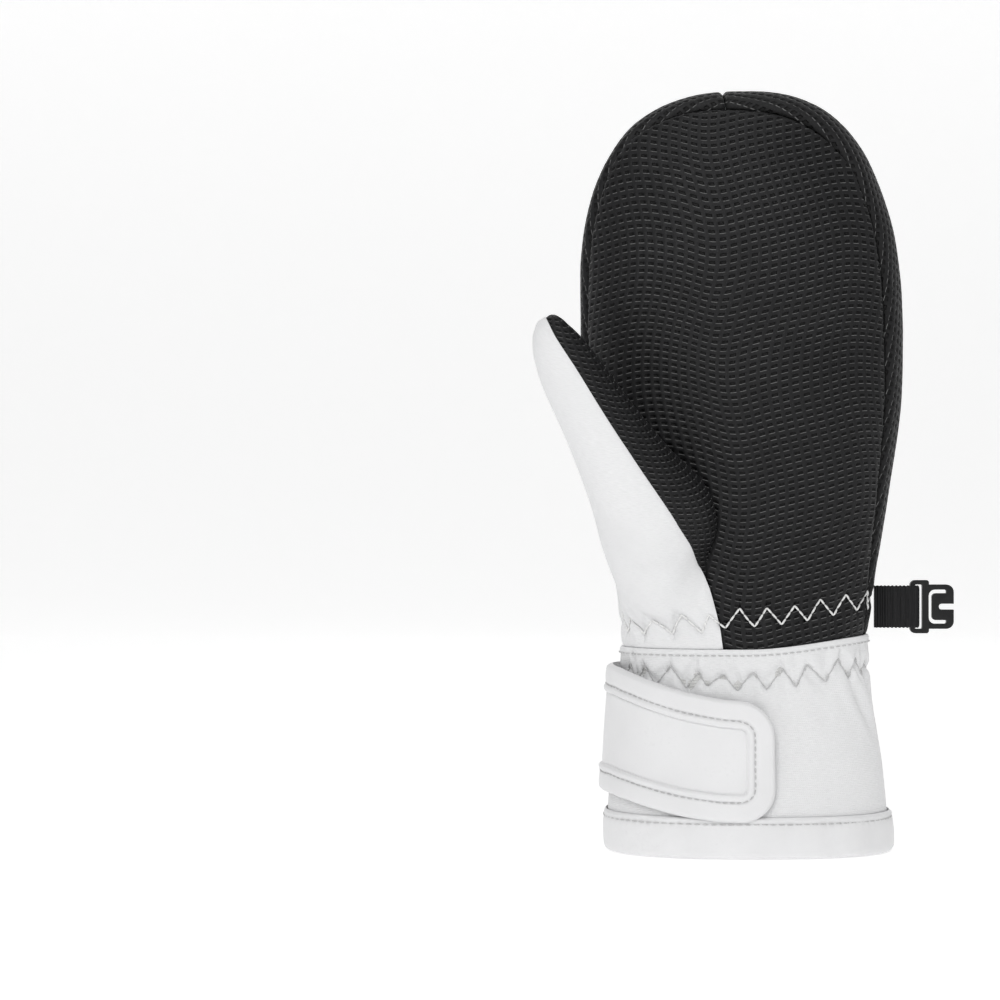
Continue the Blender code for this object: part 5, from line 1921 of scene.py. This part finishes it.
@dataclass
class Sewing:
    """Every visible stitch, copied from one stitch along each row."""

    shop: Workshop

    def __post_init__(self) -> None:
        """Shapes the one stitch: a short plump thread whose ends dive into the fabric."""
        deselect()
        bpy.ops.mesh.primitive_uv_sphere_add(segments=8, ring_count=6, radius=0.5)
        one = bpy.context.object
        self.points = read_points(one)[:, [2, 0, 1]]
        self.faces = [list(p.vertices) for p in one.data.polygons]
        self.points[:, 0] = power(self.points[:, 0] * 2, 0.72) / 2
        bpy.data.objects.remove(one)

    def row(
        self, name: str, finish: str, starts: Array, ends: Array, normals: Array, thick: float, dive: float
    ) -> Piece:
        """Copies the stitch from each start to each end.

        Args:
            name: The row's name.
            finish: Its thread.
            starts: Where each stitch comes out of the fabric.
            ends: Where it goes back in.
            normals: The fabric's outward directions.
            thick: The thread's thickness.
            dive: How far a stitch's ends dip.

        Returns:
            The row as one mesh.
        """
        along = ends - starts
        length = np.linalg.norm(along, axis=1)
        ahead = along / length[:, None]
        up = unit(normals - ahead * (normals * ahead).sum(1)[:, None])
        side = np.cross(up, ahead)
        a, b, c = self.points.T
        dip = -dive * (2 * np.abs(a)) ** 2.4
        middle = (starts + ends) / 2
        points = (
            middle[:, None]
            + ahead[:, None] * (a[None, :, None] * (length * 1.04)[:, None, None])
            + side[:, None] * (b * thick)[None, :, None]
            + up[:, None] * (c * thick * 0.85 + dip)[None, :, None]
        )
        count = len(self.points)
        faces = [[v + k * count for v in face] for k in range(len(starts)) for face in self.faces]
        return make_object(name, to_scene(points.reshape(-1, 3)), faces, self.shop.finish(finish), sharp=80)

    def on_shell(self, points: Array, lift: float) -> tuple[Array, Array]:
        """Points on the sewn shell, raised by a thread's half, and the outward directions there."""
        form = self.shop.form
        points = form.settle(points, form.distance, 4)
        normals = unit(form.slope(points, form.distance))
        return points + normals * (self.shop.padding.relief(points) + lift)[:, None], normals

    def zigzag(self, row: ZigzagRow, finish: str, lift: float, thick: float) -> None:
        """One zigzag row, each leg in three stitches."""
        steps = 3
        phase = 1 + np.arange(row.count * steps + 1) / steps
        angle = row.turn(phase)
        points = self.shop.form.ring(row.line(angle), angle)
        on, normals = self.on_shell(points, lift)
        normals = (normals[:-1] + normals[1:]) / 2
        made = self.row(row.name + "_stitches", finish, on[:-1], on[1:], normals, thick, 0.3)
        self.shop.place(made, "white_thread", "hand", [row.name])

    def straight(self, name: str, node: str, height: float, lift: float, pitch: float, hem: bool) -> None:
        """A straight row right round the cuff."""
        angle = np.linspace(0, 2 * math.pi, 1441)
        form = self.shop.form
        base = form.ring(np.full_like(angle, height), angle)
        if not hem:
            base[:, 2] += form.wrist_climb(base[:, 0]) * 0.94
        run = path_run(base)
        count = round(run[-1] / pitch)
        marks = np.arange(count) * run[-1] / count
        out = []
        for at in (marks, marks + 0.74 * run[-1] / count):
            points = read_path(at, run, base)
            normals = unit(form.slope(points, form.hand_distance) * np.array([1.0, 1.0, 0.0]))
            rise = lift if hem else lift + self.shop.padding.relief(points)
            out.append((points + normals * np.broadcast_to(rise, len(points))[:, None], normals))
        made = self.row(name, "shaded_thread", out[0][0], out[1][0], out[0][1], 0.46, 0.16)
        self.shop.place(made, "white_thread", "hand", [node])

    def strap_row(self) -> None:
        """The row that runs round inside the strap's edge."""
        strap = Strap(self.shop)
        inset = strap.stitch_line
        corner = strap.corner - inset
        turn = np.linspace(0, math.pi / 2, 24)
        straight = np.linspace(strap.length - 3.0, strap.corner, 220)
        top = join(straight, strap.full_half(straight) - inset)
        around = join(strap.corner - corner * np.sin(turn), strap.half[0] - inset - corner * (1 - np.cos(turn)))
        half = np.concatenate((top, around))
        line = np.concatenate((half, half[::-1] * [1, -1]))
        end = np.linspace(-1, 1, 40) * (strap.half[1] - inset)
        line = np.concatenate((line, join(np.full(40, strap.length - 3.0), end)))
        run, height = line[:, 0], line[:, 1]
        settle = 1.35 * smooth(run, strap.fold + 4.0, strap.length - 8.0)
        points = strap.surface(run, height, strap.top - 0.12 - settle)
        above = strap.surface(run, height, strap.top + 0.88 - settle)
        length = path_run(points)
        count = round(length[-1] / 2.5)
        marks = np.arange(count) * length[-1] / count
        picked = []
        for at in (marks, marks + 0.72 * length[-1] / count):
            picked += [read_path(at, length, points), read_path(at, length, above)]
        normals = unit(picked[1] - picked[0])
        made = self.row("strap_stitches", "shaded_thread", picked[0], picked[2], normals, 0.46, 0.14)
        self.shop.place(made, "white_thread", STRAP_BLEND, ["strap_topstitch"])

    def build(self) -> None:
        """Sews every row."""
        self.zigzag(UPPER_ROW, "white_thread", 0.32, 0.8)
        self.zigzag(LOWER_ROW, "shaded_thread", 0.36, 0.5)
        self.straight("wrist_stitches", "wrist_topstitch", self.shop.form.wrist - 2.3, 0.5, 2.5, False)
        self.straight("hem_stitches", "hem_topstitch", 12.1, 1.42, 2.9, True)
        self.strap_row()


# ---- inside


@dataclass
class Inside:
    """What lies under the shell: waterproof insert, wadding, fleece lining, elastics and the label."""

    shop: Workshop

    def finish_layer(
        self,
        name: str,
        node: str,
        slot: str,
        body: str,
        grids: Sequence[Array],
        thick: float,
        wrap: bool = False,
        hole: bool = False,
    ) -> None:
        """Joins grids into one sheet, opens it for the thumb, gives it its thickness and places it.

        Args:
            name: The piece's name.
            node: The CAD node that it stands for.
            slot: Its material slot.
            body: What it moves with.
            grids: Grids of points on its outside.
            thick: Its thickness, inwards.
            wrap: Whether each grid's last column joins its first.
            hole: Whether the thumb's root leaves an opening in it.
        """
        points: list = []
        faces: list = []
        weave: list = []
        for grid in grids:
            faces += grid_faces(*grid.shape[:2], len(points), wrap)
            points += to_scene(grid.reshape(-1, 3)).tolist()
            runs = runs_from_edges(grid)
            weave += join(runs[0], runs[2]).reshape(-1, 2).tolist()
        maps = {"weave": np.array(weave)}
        made = make_object(name, np.array(points), faces, self.shop.finish(slot), maps, closed=False)
        bm = bmesh.new()
        bm.from_mesh(made.data)
        if hole:
            centre, axes = np.array([-36.5, -28.0, 119.0]), np.array([30.0, 25.0, 39.0])
            middles = np.array([f.calc_center_median() for f in bm.faces]) / MM - ORIGIN
            inside = (((middles - centre) / axes) ** 2).sum(1) < 1
            bmesh.ops.delete(bm, geom=[f for f, cut in zip(bm.faces, inside) if cut], context="FACES")
        bmesh.ops.remove_doubles(bm, verts=bm.verts, dist=2e-6)
        bmesh.ops.recalc_face_normals(bm, faces=bm.faces)
        bm.to_mesh(made.data)
        bm.free()
        wall = made.modifiers.new("thickness", "SOLIDIFY")
        wall.thickness = thick * MM
        wall.offset = -1.0
        apply(made, wall)
        made.data.shade_smooth()
        self.shop.place(made, slot, body, [node])

    def hand_grids(self, inset: float, foot: float, halves: Sequence[float], nap: float, size: float) -> list:
        """Grids of a bag inside the hand, one for each half."""
        form = self.shop.form
        low = form.up_of(foot)
        dome = np.sin(np.linspace(0, math.pi / 2, 46)[1:]) ** (2 / form.roundness)
        up = np.concatenate((np.linspace(low, 0, 56), dome))
        across = power(np.sin(np.linspace(-math.pi / 2, math.pi / 2, 81)), 2 / form.roundness)
        grids = []
        for side in halves:
            grid = form.hand(across[:, None], up[None, :], side)
            centre = np.array([-1.0, 0.0, 0.0])
            width, depth = 55.0, 27.5
            scale = np.array([1 - inset / width, 1 - inset / depth, 1.0])
            inner = (grid - centre) * scale + centre
            inner[..., 2] -= inset * smooth(grid[..., 2], form.dome_foot, form.tip)
            relief = nap * wobble(inner, size, 51) * np.sin(np.linspace(0, math.pi, len(across)))[:, None]
            inner[..., 1] += side * relief
            if len(halves) == 1:
                inner[..., 1] += side * 0.2
            grids.append(inner)
        return grids

    def thumb_grid(self, inset: float, nap: float) -> Array:
        """Grid of a sleeve inside the thumb."""
        form = self.shop.form
        station = np.concatenate((np.linspace(0.9, 5.0, 54), np.linspace(5.0, 5.9, 22)[1:]))
        turn = round_turns(64)
        centre, deep, outer, inner, front, across = form.thumb_frame(station)
        least = 0.3
        deep, outer, inner = (np.maximum(v - inset, least * v) for v in (deep, outer, inner))
        c, s = np.cos(turn), np.sin(turn)
        wide = np.where(s > 0, inner[None, :], outer[None, :])
        grid = centre[None] + front[None] * (deep[None, :] * c)[..., None] + across[None] * (wide * s)[..., None]
        grid = grid + nap * wobble(grid, 9.0, 61)[..., None] * front[None]
        back = (form.thumb_along[-1] * inset * 0.8)[None, None]
        return grid - back * smooth(station, 4.6, 5.9)[None, :, None]

    def band(self, inset: float, low: float, high: float, rows: int, ribs: float, count: int = 240) -> Array:
        """Grid of a band round the cuff or the wrist."""
        form = self.shop.form
        angle = round_turns(count)
        grid = form.ring(np.linspace(low, high, rows)[None, :], angle)
        normals = unit(form.slope(grid, form.hand_distance))
        return grid - normals * (inset - ribs * np.cos(angle * 54.0))[..., None]

    def label(self) -> None:
        """The blank label sewn into the back of the cuff."""
        angle = np.radians(np.linspace(75.0, 105.0, 40))[:, None]
        grid = self.shop.form.ring(np.linspace(30.0, 52.0, 30)[None, :], angle)
        normals = unit(self.shop.form.slope(grid, self.shop.form.hand_distance))
        run = np.linspace(0, 1, 30)[None, :]
        curl = 5.5 + 0.9 * (1 - run) ** 2 + 0.12 * np.sin(angle * 40.0)
        sheet = grid - normals * curl[..., None]
        self.finish_layer("blank_care_label", "care_label", "blank_label", "hand", [sheet], 0.35)

    def build(self) -> None:
        """Makes every inner layer."""
        both = (-1.0, 1.0)
        insert = self.hand_grids(3.0, 79.0, both, 0.1, 8.0)
        fleece = self.hand_grids(7.2, 76.5, both, 0.35, 9.0)
        palm, back = (self.hand_grids(3.7, 97.0, (side,), 0.3, 11.0) for side in both)
        upper = self.band(3.1, 80.0, 91.0, 12, 0.16, 432)
        lower = self.band(1.75, 56.0, 66.5, 12, 0.12, 432)
        for name, node, slot, grids, thick, hole, padded in (
            ("hand_insert", "hand_membrane", "membrane_film", insert, 0.3, True, None),
            ("palm_filling", "palm_wadding", "wadding", palm, 3.0, True, 0.7),
            ("back_filling", "back_wadding", "wadding", back, 3.0, False, 0.7),
            ("hand_fleece", "hand_lining", "grey_fleece", fleece, 1.2, True, None),
        ):
            self.finish_layer(name, node, slot, "hand", grids, thick, hole=hole)
        for name, node, slot, body, grid, thick, padded in (
            ("thumb_insert", "thumb_membrane", "membrane_film", "thumb", self.thumb_grid(2.0, 0.1), 0.3, None),
            ("thumb_filling", "thumb_wadding", "wadding", "thumb", self.thumb_grid(2.7, 0.2), 1.5, 0.6),
            ("thumb_fleece", "thumb_lining", "grey_fleece", "thumb", self.thumb_grid(4.6, 0.2), 0.9, None),
            ("cuff_fleece", "cuff_lining", "grey_fleece", "hand", self.band(3.35, 2.4, 75.6, 60, 0.0), 1.1, None),
            ("upper_elastic", "wrist_elastic_upper", "elastic", "hand", upper, 1.0, None),
            ("lower_elastic", "wrist_elastic_lower", "elastic", "hand", lower, 0.6, None),
        ):
            self.finish_layer(name, node, slot, body, [grid], thick, wrap=True)
        self.label()


# ---- studio


@dataclass
class Studio:
    """Floor, lights and camera. Places are in metres and powers in watts."""

    paper: float = 0.9
    glow: float = 0.37
    sky: float = 0.43
    lights: tuple = (
        ("key", (-0.35, -1.2, 0.85), (0, 0, 0.14), 0.7, 6.6),
        ("fill", (0.7, -1.1, 0.4), (0, 0, 0.14), 0.8, 1.0),
        ("top", (0.0, -0.2, 1.2), (0, 0, 0.2), 0.5, 1.6),
        ("rear", (0.3, 1.2, 0.8), (0, 0, 0.14), 0.8, 1.0),
    )
    eye: tuple[float, float, float] = (-0.0878, -1.042, 0.125)
    lens_mm: float = 105.0
    sensor_mm: float = 36.0

    def floor(self) -> None:
        """A pale sweep that rises behind the mitten."""
        deselect()
        bpy.ops.mesh.primitive_plane_add(size=1.0, location=(0, 0, 0))
        sweep = bpy.context.object
        sweep.name = "studio_sweep"
        sweep.scale = (14.0, 9.6, 1.0)
        sweep.location = (0, -3.2, -0.0004)
        bpy.ops.object.transform_apply(location=True, scale=True)
        select_edges(sweep, lambda end: end.y > 1.0)
        radius = 0.8
        bpy.ops.mesh.spin(steps=16, angle=-math.pi / 2, center=(0, 1.6, radius), axis=(1, 0, 0))
        bpy.ops.mesh.extrude_region_move(TRANSFORM_OT_translate={"value": (0, 0, 3.0)})
        bpy.ops.object.mode_set(mode="OBJECT")
        sweep.data.shade_smooth()
        material = bpy.data.materials.new("studio_paper")
        material.use_nodes = True
        shader = material.node_tree.nodes["Principled BSDF"]
        shader.inputs["Base Color"].default_value = (*[self.paper] * 3, 1)
        shader.inputs["Roughness"].default_value = 0.9
        shader.inputs["Emission Color"].default_value = (1, 1, 1, 1)
        shader.inputs["Emission Strength"].default_value = self.glow
        sweep.data.materials.append(material)

    def light(self, name: str, place: tuple, aim: tuple, size: float, power_w: float) -> None:
        """One soft square light."""
        lamp = bpy.data.lights.new(name, "AREA")
        lamp.energy = power_w
        lamp.size = size
        made = bpy.data.objects.new(name, lamp)
        made.location = place
        made.rotation_euler = (Vector(aim) - Vector(place)).to_track_quat("-Z", "Y").to_euler()
        bpy.context.scene.collection.objects.link(made)

    def build(self) -> None:
        """Sets up the whole studio."""
        self.floor()
        world = bpy.data.worlds.new("studio_white")
        world.use_nodes = True
        sky = world.node_tree.nodes["Background"]
        sky.inputs[0].default_value = (1, 1, 1, 1)
        sky.inputs[1].default_value = self.sky
        bpy.context.scene.world = world
        for light in self.lights:
            self.light(*light)
        lens = bpy.data.cameras.new("camera")
        lens.lens = self.lens_mm
        lens.sensor_width = self.sensor_mm
        camera = bpy.data.objects.new("camera", lens)
        camera.location = self.eye
        camera.rotation_euler = (math.pi / 2, 0, 0)
        bpy.context.scene.collection.objects.link(camera)
        bpy.context.scene.camera = camera
        bpy.context.scene.view_settings.view_transform = "Standard"


def main() -> None:
    """Builds and dresses the whole mitten."""
    logging.basicConfig(level=logging.INFO, format="%(name)s: %(message)s")
    form = MittenForm()
    padding = Padding(form)
    padding.fill()
    shop = Workshop(form, padding)
    hand = Hand(shop)
    hand.build()
    Thumb(shop, hand).build()
    for part in (Cuff(shop), Strap(shop), Clip(shop), Sewing(shop), Inside(shop)):
        part.build()
    Studio().build()
    LOG.info("finished")


if __name__ == "__main__":
    main()
